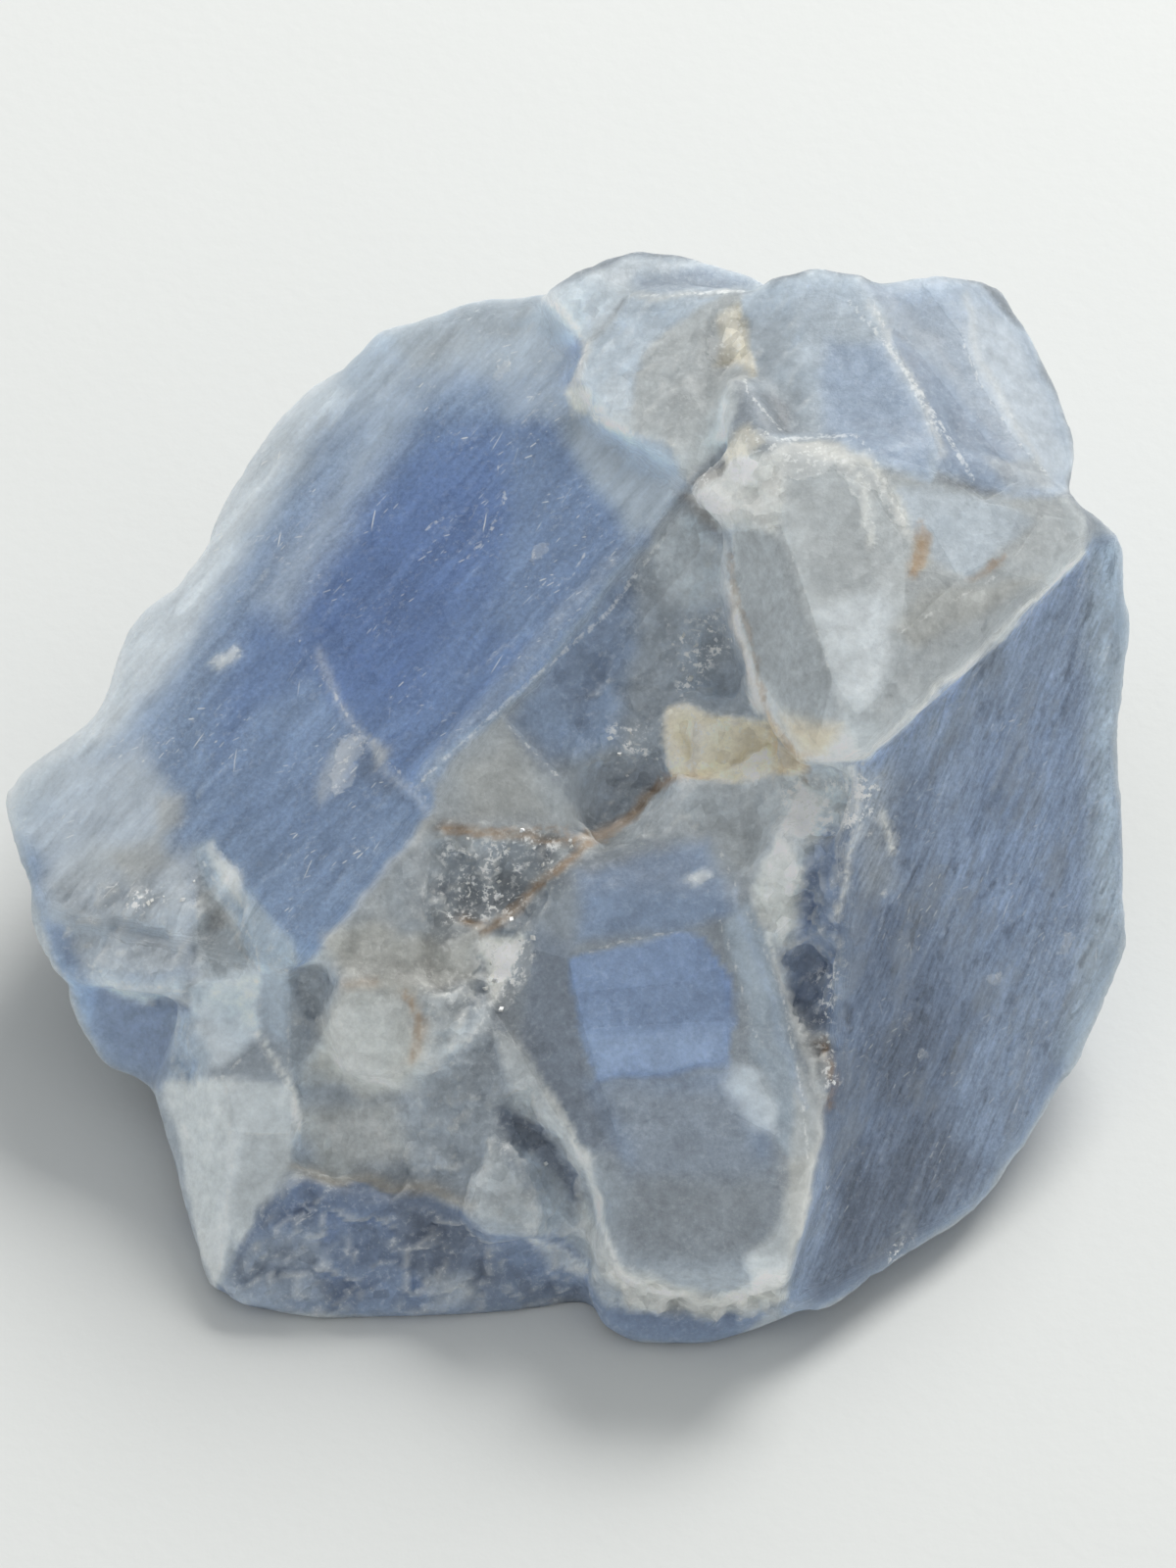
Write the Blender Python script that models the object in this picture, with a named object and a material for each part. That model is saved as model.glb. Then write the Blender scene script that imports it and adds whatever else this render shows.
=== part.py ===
"""Blue calcite: a broken lump of coarsely crystalline calcite, 46 mm wide.

The lump is one stone. It is made of cleavage blocks that grew into each other: each block is a body bounded by
flat faces, and the stone is their union, cut off flat where it rests.

The blocks are laid out on a sheet that is tipped back by SHEET_TIP from upright, as a stone is drawn when it is
looked down on from the front. On the sheet u runs to the right, v runs up the sheet, and h rises out of it.
Sheet sizes are millimetres, and the finished stone is in metres with +Z up.
"""

import math
import random
from collections import namedtuple
from itertools import combinations, count

import bmesh
import bpy
from mathutils import Matrix, Vector

MM = 0.001
SHEET_TIP = 55.0  # degrees between the sheet's normal and the horizon
FLOOR_LINE = -22.0  # v where the sheet meets the surface that the stone rests on
BIG = 60.0  # mm, larger than the stone
FEET = count(9.0, 0.11)  # mm, how deep the blocks reach behind the sheet, no two of them to the same plane

# A flat face through the sheet point (u, v) at a height h, rising by `right` per mm of u and by `up` per mm of v.
Face = namedtuple("Face", "u v h right up")


def sheet_to_world():
    """The matrix that takes sheet millimetres (u, v, h) to millimetres with +Z up."""
    tip = math.radians(SHEET_TIP)
    along_v = Vector((0.0, math.sin(tip), math.cos(tip)))
    out = Vector((0.0, -math.cos(tip), math.sin(tip)))
    turn = Matrix((Vector((1.0, 0.0, 0.0)), along_v, out)).transposed().to_4x4()
    return Matrix.Translation((0.0, 0.0, -FLOOR_LINE * math.cos(tip))) @ turn


TO_WORLD = sheet_to_world()


def height(face, u, v):
    """How far the face stands out of the sheet at (u, v)."""
    return face.h + face.right * (u - face.u) + face.up * (v - face.v)


def as_object(name, shape):
    """An object in the scene from a shape on the sheet."""
    bmesh.ops.recalc_face_normals(shape, faces=shape.faces)
    shape.transform(TO_WORLD)
    mesh = bpy.data.meshes.new(name)
    shape.to_mesh(mesh)
    shape.free()
    made = bpy.data.objects.new(name, mesh)
    bpy.context.scene.collection.objects.link(made)
    return made


def hull(points):
    """The closed convex body round the points, with one polygon on each flat side."""
    shape = bmesh.new()
    for point in points:
        shape.verts.new(point)
    made = bmesh.ops.convex_hull(shape, input=shape.verts, use_existing_faces=False)
    inside = {e for e in made["geom_interior"] + made["geom_unused"] if isinstance(e, bmesh.types.BMVert)}
    bmesh.ops.delete(shape, geom=list(inside), context="VERTS")
    bmesh.ops.dissolve_limit(shape, angle_limit=math.radians(0.2), verts=shape.verts, edges=shape.edges)
    return shape


def convex_body(planes):
    """The closed body on the inner side of all the planes, each given as (point, outward normal)."""
    planes = [(normal.normalized(), normal.normalized().dot(point)) for point, normal in planes]
    corners = []
    for (n1, d1), (n2, d2), (n3, d3) in combinations(planes, 3):
        spread = n1.dot(n2.cross(n3))
        if abs(spread) < 1e-6:
            continue
        point = (n2.cross(n3) * d1 + n3.cross(n1) * d2 + n1.cross(n2) * d3) / spread
        if all(n.dot(point) < d + 1e-4 for n, d in planes):
            if all((point - corner).length > 2e-3 for corner in corners):
                corners.append(point)
    return hull(corners)


def block(name, outline, faces, undercut=0.0, foot=None):
    """A convex cleavage block: the faces cap it, and its sides lean in by the undercut below its outline."""
    foot = -next(FEET) if foot is None else foot
    lean = math.tan(math.radians(undercut))
    middle = sum((Vector(corner) for corner in outline), Vector((0.0, 0.0))) / len(outline)
    planes = [(Vector((0.0, 0.0, foot)), Vector((0.0, 0.0, -1.0)))]
    for start, end in zip(outline, outline[1:] + outline[:1]):
        low = Vector((*start, min(height(face, *start) for face in faces)))
        high = Vector((*end, min(height(face, *end) for face in faces)))
        run = high - low
        across = Vector((run.y, -run.x, 0.0)).normalized()
        if across.xy.dot(low.xy - middle) < 0:
            across.negate()
        normal = run.cross(Vector((-across.x * lean, -across.y * lean, -1.0)))
        if normal.dot(across) < 0:
            normal.negate()
        planes.append((low, normal))
    for face in faces:
        planes.append((Vector((face.u, face.v, face.h)), Vector((-face.right, -face.up, 1.0))))
    return as_object(name, convex_body(planes))


def slab(name, outline, face, inset, depth):
    """A wedge-edged slab with one flat face: below its outline it narrows to a smaller, deeper outline."""
    middle = sum((Vector(corner) for corner in outline), Vector((0.0, 0.0))) / len(outline)
    shape = bmesh.new()
    rim, foot = [], []
    for corner in outline:
        low = middle + (Vector(corner) - middle) * (1.0 - inset)
        rim.append(shape.verts.new((*corner, height(face, *corner))))
        foot.append(shape.verts.new((low.x, low.y, height(face, low.x, low.y) - depth)))
    shape.faces.new(rim)
    shape.faces.new(foot)
    for i in range(len(outline)):
        j = (i + 1) % len(outline)
        shape.faces.new((rim[i], rim[j], foot[j], foot[i]))
    return as_object(name, shape)


def pit(name, outline, floor, flare):
    """A convex hollow to cut away: it has a flat floor on the outline, and sides that flare out above it."""
    lean = math.tan(math.radians(flare))
    middle = sum((Vector(corner) for corner in outline), Vector((0.0, 0.0))) / len(outline)
    planes = [
        (Vector((floor.u, floor.v, floor.h)), Vector((floor.right, floor.up, -1.0))),
        (Vector((0.0, 0.0, BIG)), Vector((0.0, 0.0, 1.0))),
    ]
    for start, end in zip(outline, outline[1:] + outline[:1]):
        low = Vector((*start, height(floor, *start)))
        high = Vector((*end, height(floor, *end)))
        run = high - low
        across = Vector((run.y, -run.x, 0.0)).normalized()
        if across.xy.dot(low.xy - middle) < 0:
            across.negate()
        normal = run.cross(Vector((across.x * lean, across.y * lean, 1.0)))
        if normal.dot(across) < 0:
            normal.negate()
        planes.append((low, normal))
    return as_object(name, convex_body(planes))


def cleavage_block(name, centre, halves):
    """A rhomb bounded by the stone's three cleavage directions, placed in millimetres with +Z up."""
    turn = TO_WORLD.to_3x3()
    first = (turn @ Vector((-LEFT_FACE.right, -LEFT_FACE.up, 1.0))).normalized()
    second = (turn @ Vector((-RIGHT_FACE.right, -RIGHT_FACE.up, 1.0))).normalized()
    third = (first.cross(second).normalized() - 0.2 * (first + second)).normalized()
    planes = []
    for direction, half in zip((first, second, third), halves):
        planes.append((Vector(centre) + direction * half, direction))
        planes.append((Vector(centre) - direction * half, -direction))
    shape = convex_body(planes)
    shape.transform(TO_WORLD.inverted())
    return as_object(name, shape)


def bulk(name, points):
    """A closed convex body round points given in millimetres with +Z up."""
    shape = hull(points)
    shape.transform(TO_WORLD.inverted())
    return as_object(name, shape)


# The two large cleavage faces, and the dim face of the hollow between them
LEFT_FACE = Face(-6.8, -1.2, 2.74, 0.44, -0.47)
RIGHT_FACE = Face(10.8, 0.8, 5.3, -0.65, 0.195)
HOLLOW_FACE = Face(2.0, 9.6, 1.45, -0.292, 0.112)

LEFT_RIM = [
    (-24.0, -0.8), (-23.2, 0.2), (-21.6, 1.4), (-20.3, 2.3), (-19.6, 3.8), (-19.0, 5.8), (-18.0, 7.1),
    (-16.6, 8.1), (-15.6, 9.6), (-15.1, 11.0), (-14.4, 12.3), (-13.5, 13.6), (-12.6, 14.9), (-11.4, 16.2),
    (-10.0, 17.0), (-8.8, 18.2), (-8.2, 18.8), (-6.8, 19.0), (-5.2, 19.7), (-4.0, 20.0), (-1.8, 20.1),
    (1.6, 20.4), (4.8, 16.8), (4.2, 12.2), (2.0, 9.6), (-3.6, 2.8), (-6.6, -1.2), (-10.6, -6.6),
    (-12.0, -7.4), (-15.4, -2.4), (-16.0, -3.2), (-16.0, -5.4), (-20.0, -5.6), (-22.4, -5.0), (-23.6, -2.2),
]
RIGHT_RIM = [
    (20.0, 10.8), (20.6, 11.2), (21.6, 10.1), (21.7, 8.0), (22.0, 7.0), (21.7, 4.4), (21.5, 1.6), (21.7, -1.6),
    (21.8, -5.2), (21.9, -6.7), (21.0, -8.8), (19.9, -11.4), (18.4, -13.6), (16.0, -17.1), (13.2, -19.0),
    (10.8, -20.5), (9.5, -21.4), (8.0, -21.4), (7.6, -19.6), (9.9, -13.2), (9.8, -4.0), (11.2, 1.6), (14.4, 4.4),
]


# Rhombs at the back and the sides: centre x, y, z with +Z up, and half the thickness across each cleavage direction
BACK_LEDGES = [
    (-8.2, 12.4, 7.0, 3.0, 3.8, 4.6), (-1.5, 14.6, 6.0, 4.0, 3.6, 5.5), (6.5, 15.0, 8.0, 4.5, 4.0, 5.0),
    (12.0, 12.6, 7.5, 4.0, 4.0, 4.8), (3.2, 15.6, 12.2, 3.8, 3.2, 4.2), (10.3, 14.2, 13.8, 3.7, 3.5, 4.5),
    (14.0, 7.0, 8.0, 3.2, 3.0, 4.4), (-13.0, 4.0, 6.5, 2.6, 3.4, 5.0), (-6.0, 13.2, 11.8, 2.6, 3.2, 3.6),
    (14.0, -2.6, 4.0, 3.4, 2.6, 4.2),
]

BITES = 46  # how many small bites are broken out of the sharp edges
BITE_SIZE = (0.5, 1.25)  # mm, smallest and largest radius of a bite
BITE_POINTS = 12  # corners that a bite's rough outline is drawn round
SHARP_EDGE = 0.6  # radians, the least turn at an edge that is bitten
LONG_EDGE = 1.5  # mm, the least length of an edge that is bitten
CLEAR_OF_REST = 1.0  # mm, how far above the rest plane an edge has to be


def hollow_blocks():
    """The dim hollow between the two large faces, and the grey mass that closes it below."""
    yield block(
        "hollow",
        [(3.8, 12.2), (5.8, 11.2), (8.0, 6.4), (8.0, 1.6), (4.0, -2.4), (-6.8, -2.4), (-6.8, 0.4)],
        [HOLLOW_FACE],
    )
    yield block(
        "hollow_shelf",
        [(-6.8, 0.2), (-3.8, 3.2), (-1.4, 0.2), (0.4, -1.8), (-5.2, -2.2)],
        [Face(-3.8, 2.6, 2.4, -0.15, 0.0)],
        -18.0,
    )
    yield block(
        "chalk_patch",
        [(3.1, 3.0), (4.0, 3.4), (7.2, 2.6), (7.5, 0.6), (6.0, -0.2), (3.2, 0.2)],
        [Face(5.0, 1.6, 1.3, 0.2, 0.1), Face(5.0, 1.6, 1.3, -0.1, 0.25)],
        -15.0,
    )
    yield block(
        "middle_saddle",
        [(3.2, 0.4), (8.0, 0.8), (11.2, 1.6), (10.4, -2.0), (8.0, -2.6), (5.6, -2.8), (0.0, -3.4), (0.8, -2.0)],
        [Face(5.6, 0.0, 1.6, 0.35, 0.05)],
    )
    yield block(
        "groove",
        [(6.4, -2.4), (10.2, -2.0), (10.2, -13.2), (8.8, -17.0), (7.2, -8.0)],
        [Face(8.6, -6.0, 2.4, 0.25, 0.05)],
    )
    yield block(
        "groove_chip",
        [(7.8, -2.0), (8.6, -2.2), (8.1, -5.2), (7.6, -6.4), (6.8, -5.6), (7.0, -4.0)],
        [Face(7.6, -4.0, 3.8, 0.5, 0.1)],
        -15.0,
    )
    yield block(
        "groove_step",
        [(8.2, -3.2), (9.6, -2.4), (10.2, -3.6), (10.2, -9.4), (9.2, -8.4), (8.4, -6.4)],
        [Face(9.2, -5.2, 3.6, 0.45, 0.12)],
        -10.0,
    )


def upper_blocks():
    """The white crown at the upper right, and the lobes behind it along the top."""
    yield block(
        "white_crown",
        [
            (5.8, 9.6), (6.8, 12.8), (8.0, 13.8), (11.2, 14.1), (16.0, 13.2), (19.4, 11.8), (20.3, 10.4), (20.2, 9.1),
            (19.2, 7.8), (16.8, 5.9), (14.4, 3.9), (12.2, 1.7), (10.8, 1.1), (8.6, 1.0), (6.6, 4.0), (5.7, 8.0),
        ],
        [
            Face(10.0, 13.2, 4.2, 0.0, -0.29),
            Face(8.0, 9.8, 5.19, 1.14, 0.09),
            Face(13.2, 8.0, 5.71, -0.5, -0.055),
            Face(12.0, 13.2, 4.2, -0.403, -0.369),
            Face(10.8, 2.9, 7.19, 0.15, 0.9),
            Face(10.0, 13.6, 3.6, 0.1, -1.1),
        ],
        4.0,
    )
    yield block(
        "white_tip",
        [(4.2, 12.1), (6.0, 13.0), (8.0, 13.7), (8.0, 10.2), (6.4, 10.2), (5.4, 10.8)],
        [Face(6.0, 12.5, 3.4, 0.35, -0.3)],
        10.0,
    )
    yield block(
        "near_lobe",
        [
            (6.4, 19.5), (7.6, 20.5), (9.4, 20.9), (11.1, 20.6), (12.0, 20.2), (13.4, 17.8), (14.2, 15.4), (14.5, 13.4),
            (14.2, 12.6), (11.2, 12.0), (6.8, 12.8), (5.7, 14.8), (5.9, 16.8),
        ],
        [Face(9.4, 20.9, -1.0, 0.05, -0.55), Face(9.0, 16.0, 1.68, 0.35, -0.5), Face(12.9, 16.4, 1.65, -0.6, -0.855)],
        25.0,
    )
    yield block(
        "near_lobe_step",
        [(6.0, 17.4), (6.6, 16.0), (8.4, 14.8), (8.4, 13.6), (6.4, 13.2), (5.8, 14.6)],
        [Face(6.4, 16.4, 1.9, 0.5, -0.7)],
    )
    yield block(
        "far_lobe",
        [
            (11.4, 20.2), (12.0, 20.3), (13.6, 20.8), (15.4, 20.9), (16.9, 20.1), (18.0, 18.3), (19.1, 15.8),
            (19.8, 13.6), (19.4, 11.9), (18.0, 11.2), (14.0, 12.0), (12.0, 15.0),
        ],
        [Face(16.2, 16.5, 0.0, -0.15, -0.45), Face(16.2, 16.5, 0.0, -0.95, -0.82)],
        25.0,
    )
    yield block(
        "lobe_rib",
        [(13.0, 19.9), (13.8, 20.1), (15.4, 16.0), (16.6, 13.2), (17.6, 11.6), (15.0, 12.0), (14.0, 15.0)],
        [Face(14.4, 16.0, 0.9, -0.5, -0.65)],
        10.0,
    )
    yield block(
        "back_ledge",
        [(-0.4, 20.8), (0.6, 21.4), (2.0, 21.8), (4.0, 21.5), (6.0, 20.9), (7.6, 20.4), (6.4, 19.4), (1.2, 19.6)],
        [Face(2.0, 21.7, -4.2, 0.05, -0.5)],
        25.0,
    )
    yield block(
        "pale_corner",
        [(-1.8, 20.0), (-0.1, 21.0), (1.2, 20.5), (1.9, 20.0), (0.6, 18.6), (-0.2, 17.8)],
        [Face(-0.4, 19.5, -3.4, 0.3, -0.25)],
        20.0,
    )
    yield block(
        "upper_layer",
        [
            (-0.4, 16.9), (0.2, 18.0), (2.2, 20.1), (6.4, 20.0), (6.6, 18.8), (6.1, 15.2), (5.4, 13.2),
            (4.0, 12.2), (1.6, 14.4), (-1.0, 15.8),
        ],
        [Face(3.6, 13.5, 1.5, 0.355, -0.573), Face(4.2, 15.5, 0.55, -0.35, -0.25)],
        4.0,
    )
    yield block(
        "small_white_chip",
        [(-1.1, 16.2), (-0.2, 16.4), (0.0, 15.2), (-0.6, 15.0)],
        [Face(-0.6, 15.6, -2.9, 0.5, -0.4)],
        -15.0,
    )


def middle_blocks():
    """The window block at the front, and the stained lumps to the left of it."""
    yield block(
        "heart",
        [(-7.0, 0.0), (10.0, 0.4), (10.0, -13.2), (7.6, -20.0), (-12.0, -20.0), (-13.0, -8.0)],
        [Face(0.0, -8.0, 1.2, 0.1, 0.03)],
    )
    yield block(
        "left_lump",
        [
            (-6.2, -1.8), (-4.8, -1.6), (0.0, -2.5), (-0.6, -4.2), (-2.4, -6.4), (-4.0, -8.2), (-10.0, -8.0),
            (-10.9, -6.6), (-8.8, -3.6),
        ],
        [Face(-6.0, -4.0, 2.9, -0.15, 0.1), Face(-8.8, -6.0, 2.9, 0.25, -0.05)],
    )
    yield block(
        "left_lump_rib",
        [(-8.6, -3.8), (-6.6, -2.2), (-5.8, -3.0), (-7.4, -6.6), (-9.8, -7.2), (-10.0, -6.0)],
        [Face(-7.4, -4.8, 3.3, 0.2, -0.1)],
        -20.0,
    )
    yield block(
        "stained_lump",
        [(-10.0, -7.8), (-6.8, -8.0), (-4.0, -9.6), (-5.2, -11.2), (-7.6, -11.9), (-9.6, -11.4), (-10.2, -9.6)],
        [Face(-8.0, -9.6, 3.5, -0.1, 0.1), Face(-7.0, -10.0, 3.4, 0.05, 0.35)],
        -12.0,
    )
    yield block(
        "lower_steps",
        [
            (-12.0, -14.0), (-8.8, -12.4), (-4.0, -9.8), (-1.6, -13.2), (0.0, -17.6), (-1.6, -18.2), (-4.8, -17.6),
            (-11.6, -16.0),
        ],
        [Face(-6.0, -14.0, 2.8, 0.05, 0.25), Face(-4.0, -13.0, 3.0, 0.4, 0.1)],
    )
    yield block(
        "bottom_chip",
        [(-4.8, -17.6), (-4.0, -15.2), (-3.2, -14.6), (-2.0, -17.2), (-2.2, -18.2), (-4.0, -18.2)],
        [Face(-3.4, -16.4, 3.4, 0.2, 0.1)],
    )
    yield block(
        "window_block",
        [
            (-0.9, -3.9), (1.6, -2.7), (5.1, -1.9), (6.5, -4.2), (9.5, -13.2), (9.3, -15.8), (7.9, -20.1),
            (5.6, -20.8), (1.6, -19.9), (0.5, -18.8), (-2.6, -12.4), (-3.9, -9.4), (-2.2, -5.6),
        ],
        [
            Face(3.2, -9.2, 4.4, 0.05, -0.1),
            Face(-0.2, -6.0, 3.9, 0.53, -0.07),
            Face(5.6, -3.2, 3.92, -0.81, -0.26),
            Face(4.0, -19.8, 5.2, 0.0, 2.0),
            Face(3.0, -4.4, 3.9, 0.0, -0.9),
        ],
    )
    yield block(
        "window_chip",
        [(-3.8, -9.9), (-2.8, -10.4), (-1.6, -12.4), (-0.2, -14.8), (0.0, -15.4), (-1.6, -14.2), (-3.8, -11.6)],
        [Face(-2.0, -12.4, 3.7, 0.4, 0.0)],
        -5.0,
    )
    yield block(
        "white_foot",
        [(0.4, -19.2), (8.3, -19.0), (7.8, -21.0), (5.7, -21.8), (3.8, -21.4), (1.2, -20.7)],
        [Face(4.0, -20.6, 2.7, 0.05, 0.7), Face(6.6, -20.6, 2.7, -0.5, 0.5)],
    )
    yield block(
        "front_ledge",
        [(0.2, -20.2), (0.8, -21.8), (2.0, -22.5), (4.8, -22.5), (6.6, -22.0), (8.6, -21.1), (8.0, -19.8), (1.0, -19.4)],
        [Face(4.0, -21.8, 1.5, 0.02, 0.3)],
        0.0,
        -4.3,
    )
    yield block(
        "dark_foot",
        [
            (-13.5, -18.2), (-12.0, -15.8), (-6.0, -16.6), (-4.0, -17.8), (0.0, -18.7), (0.5, -20.0), (0.0, -21.2),
            (-3.2, -21.3), (-6.0, -21.6), (-10.0, -21.7), (-14.0, -21.0), (-14.7, -20.4),
        ],
        [Face(-8.0, -16.4, 2.2, 0.0, 0.35), Face(-4.0, -19.0, 1.2, -0.2, 0.5)],
        0.0,
        -3.9,
    )


def lower_left_blocks():
    """The prism, steps, lip and recess under the left face."""
    yield block(
        "left_filler",
        [(-16.0, -2.6), (-10.8, -6.4), (-10.0, -12.0), (-11.7, -16.4), (-16.0, -12.0), (-16.2, -5.6)],
        [Face(-13.6, -8.0, -0.1, 0.2, 0.0)],
    )
    yield block(
        "pale_step",
        [(-16.0, -2.9), (-15.3, -2.4), (-12.0, -6.6), (-12.0, -7.6), (-13.3, -7.6), (-14.2, -6.0), (-15.9, -3.8)],
        [Face(-14.0, -5.0, 0.8, 0.5, -0.42)],
    )
    yield block(
        "dark_step",
        [(-16.0, -3.8), (-15.0, -3.6), (-13.3, -7.4), (-14.4, -8.2), (-15.9, -7.8)],
        [Face(-15.2, -5.6, -0.1, 0.44, -0.35)],
    )
    yield block(
        "white_prism",
        [
            (-17.5, -12.3), (-15.8, -8.4), (-13.5, -7.7), (-12.0, -11.8), (-11.5, -13.2), (-12.0, -14.6),
            (-13.5, -18.0), (-14.4, -20.0), (-15.1, -20.5), (-15.8, -18.4), (-16.5, -16.0),
        ],
        [Face(-14.6, -13.2, 1.5, 1.19, 0.107), Face(-14.6, -13.2, 1.5, -0.1, 0.1), Face(-14.2, -12.0, 1.55, 0.1, -0.5)],
        0.0,
        -5.0,
    )
    yield block(
        "striped_chip",
        [(-13.7, -7.7), (-12.0, -7.4), (-10.0, -6.7), (-9.5, -8.0), (-10.8, -10.0), (-11.8, -12.0), (-13.4, -10.4)],
        [Face(-12.0, -9.2, 1.5, -0.5, 0.1), Face(-12.1, -9.2, 1.5, 0.5, 0.2)],
    )
    yield block(
        "left_lip",
        [
            (-22.8, -4.4), (-19.6, -4.8), (-15.8, -4.8), (-15.7, -8.2), (-18.0, -8.7), (-20.0, -8.2), (-21.6, -8.0),
            (-22.5, -6.2),
        ],
        [Face(-20.0, -5.6, -1.5, 0.40, -0.25)],
        25.0,
    )
    yield block(
        "left_recess",
        [(-21.5, -8.1), (-20.0, -8.0), (-15.8, -8.4), (-15.6, -11.6), (-17.4, -12.3), (-19.6, -11.5), (-20.6, -10.1)],
        [Face(-19.0, -8.5, -2.2, 0.1, 0.45)],
        25.0,
    )


def hidden_blocks():
    """The bulk that the blocks stand on, with the flat rest face, and the ledges of the back and the sides."""
    yield bulk("core", [
        (-12, 1, -1), (-9, 9, -1), (-3, 13.5, -1), (5, 14, -1), (12, 11, -1), (15, 3, -1), (14, -7, -1),
        (10.5, -13.5, -1), (5, -17, -1), (-9, -16.5, -1), (-13, -14, -1), (-13.5, -6, -1),
        (-16, 4, 6), (-12, 12, 9), (-5, 18, 8), (5, 20, 8), (13, 17, 7), (18, 10, 8), (18.5, 2, 5), (16, -8, 2),
        (-15, -8, 3), (-6, 18.5, 15), (6, 20, 18), (14, 16.5, 17), (18, 9, 13), (10, 2, 14), (0, 4, 13), (-12, 6, 10),
    ])
    for number, (x, y, z, *halves) in enumerate(BACK_LEDGES):
        yield cleavage_block(f"back_ledge_{number}", (x, y, z), halves)


def pits(_stone):
    """The hollows between the blocks."""
    yield pit(
        "dark_pocket",
        [(-0.2, 0.7), (3.0, 1.0), (3.1, -0.5), (1.0, -1.9), (-0.3, -1.5)],
        Face(1.6, -0.6, -0.5, 0.1, 0.1),
        18.0,
    )
    yield pit(
        "lump_pit",
        [(-6.0, -2.9), (-1.8, -2.7), (-1.5, -3.6), (-3.2, -5.0), (-5.6, -4.8)],
        Face(-4.0, -4.0, 2.0, 0.05, 0.15),
        40.0,
    )
    yield pit(
        "crevice",
        [(-3.2, -13.5), (-2.6, -13.2), (0.1, -17.2), (-0.2, -17.9)],
        Face(-1.8, -15.6, 1.3, 0.1, 0.1),
        20.0,
    )
    yield pit(
        "groove_pit",
        [(8.3, -6.8), (9.6, -6.6), (9.7, -9.8), (9.1, -9.9)],
        Face(9.2, -8.0, 1.5, 0.1, 0.05),
        12.0,
    )


def bites(stone):
    """Small bites broken out of the stone's sharp edges, spread over them by length."""
    dice = random.Random(7)
    shape = bmesh.new()
    shape.from_mesh(stone.data)
    edges = [edge for edge in shape.edges if edge.is_convex and edge.calc_face_angle() > SHARP_EDGE]
    edges = [edge for edge in edges if edge.calc_length() > LONG_EDGE]
    edges = [edge for edge in edges if min(vert.co.z for vert in edge.verts) > CLEAR_OF_REST]
    places = []
    for edge in dice.choices(edges, [edge.calc_length() for edge in edges], k=BITES):
        on_edge = edge.verts[0].co.lerp(edge.verts[1].co, dice.uniform(0.1, 0.9))
        outward = (edge.link_faces[0].normal + edge.link_faces[1].normal).normalized()
        size = dice.uniform(*BITE_SIZE)
        places.append((on_edge + 0.5 * size * outward, size))
    shape.free()
    for number, (place, size) in enumerate(places):
        ways = [Vector([dice.gauss(0.0, 1.0) for _ in range(3)]).normalized() for _ in range(BITE_POINTS)]
        yield bulk(f"bite_{number}", [place + dice.uniform(0.85, 1.1) * size * way for way in ways])


def stone_blocks():
    """Every cleavage block, named for where it shows or what it looks like."""
    yield from hidden_blocks()
    yield slab("left_slab", LEFT_RIM, LEFT_FACE, 0.30, 5.0)
    yield slab("right_slab", RIGHT_RIM, RIGHT_FACE, 0.30, 5.5)
    yield from hollow_blocks()
    yield from upper_blocks()
    yield from middle_blocks()
    yield from lower_left_blocks()


def apply_boolean(stone, other, operation):
    """Joins the other body to the stone, or cuts it away, and removes it."""
    change = stone.modifiers.new("change", "BOOLEAN")
    change.operation = operation
    change.solver = "EXACT"
    change.object = other
    graph = bpy.context.evaluated_depsgraph_get()
    changed = bpy.data.meshes.new_from_object(stone.evaluated_get(graph))
    stone.modifiers.clear()
    stone.data = changed
    bpy.data.objects.remove(other)


def below_rest():
    """A box that fills the space under the rest plane."""
    shape = bmesh.new()
    bmesh.ops.create_cube(shape, size=2.0 * BIG, matrix=Matrix.Translation((0.0, 0.0, -BIG)))
    shape.transform(TO_WORLD.inverted())
    return as_object("below_rest", shape)


def calcite_material():
    material = bpy.data.materials.new("calcite")
    material.use_nodes = True
    shader = material.node_tree.nodes["Principled BSDF"]
    shader.inputs["Base Color"].default_value = (0.30, 0.38, 0.52, 1.0)
    shader.inputs["Roughness"].default_value = 0.35
    return material


def to_origin(stone):
    """Sets the stone in metres, with the middle of its box over the origin and its rest face at zero."""
    points = [vert.co for vert in stone.data.vertices]
    middle_x = (min(p.x for p in points) + max(p.x for p in points)) / 2
    middle_y = (min(p.y for p in points) + max(p.y for p in points)) / 2
    stone.data.transform(Matrix.Scale(MM, 4) @ Matrix.Translation((-middle_x, -middle_y, 0.0)))
    print("middle of the box before the move, mm:", round(middle_x, 3), round(middle_y, 3))


def main():
    for old in list(bpy.data.objects):
        bpy.data.objects.remove(old)
    bodies = stone_blocks()
    stone = next(bodies)
    stone.name = "calcite"
    for body in bodies:
        apply_boolean(stone, body, "UNION")
    for cutters in (pits, bites):
        for cutter in list(cutters(stone)):
            apply_boolean(stone, cutter, "DIFFERENCE")
    apply_boolean(stone, below_rest(), "DIFFERENCE")
    to_origin(stone)
    stone.data.materials.clear()
    stone.data.materials.append(calcite_material())
    print("faces", len(stone.data.polygons), "size", [round(s / MM, 1) for s in stone.dimensions])


main()
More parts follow.
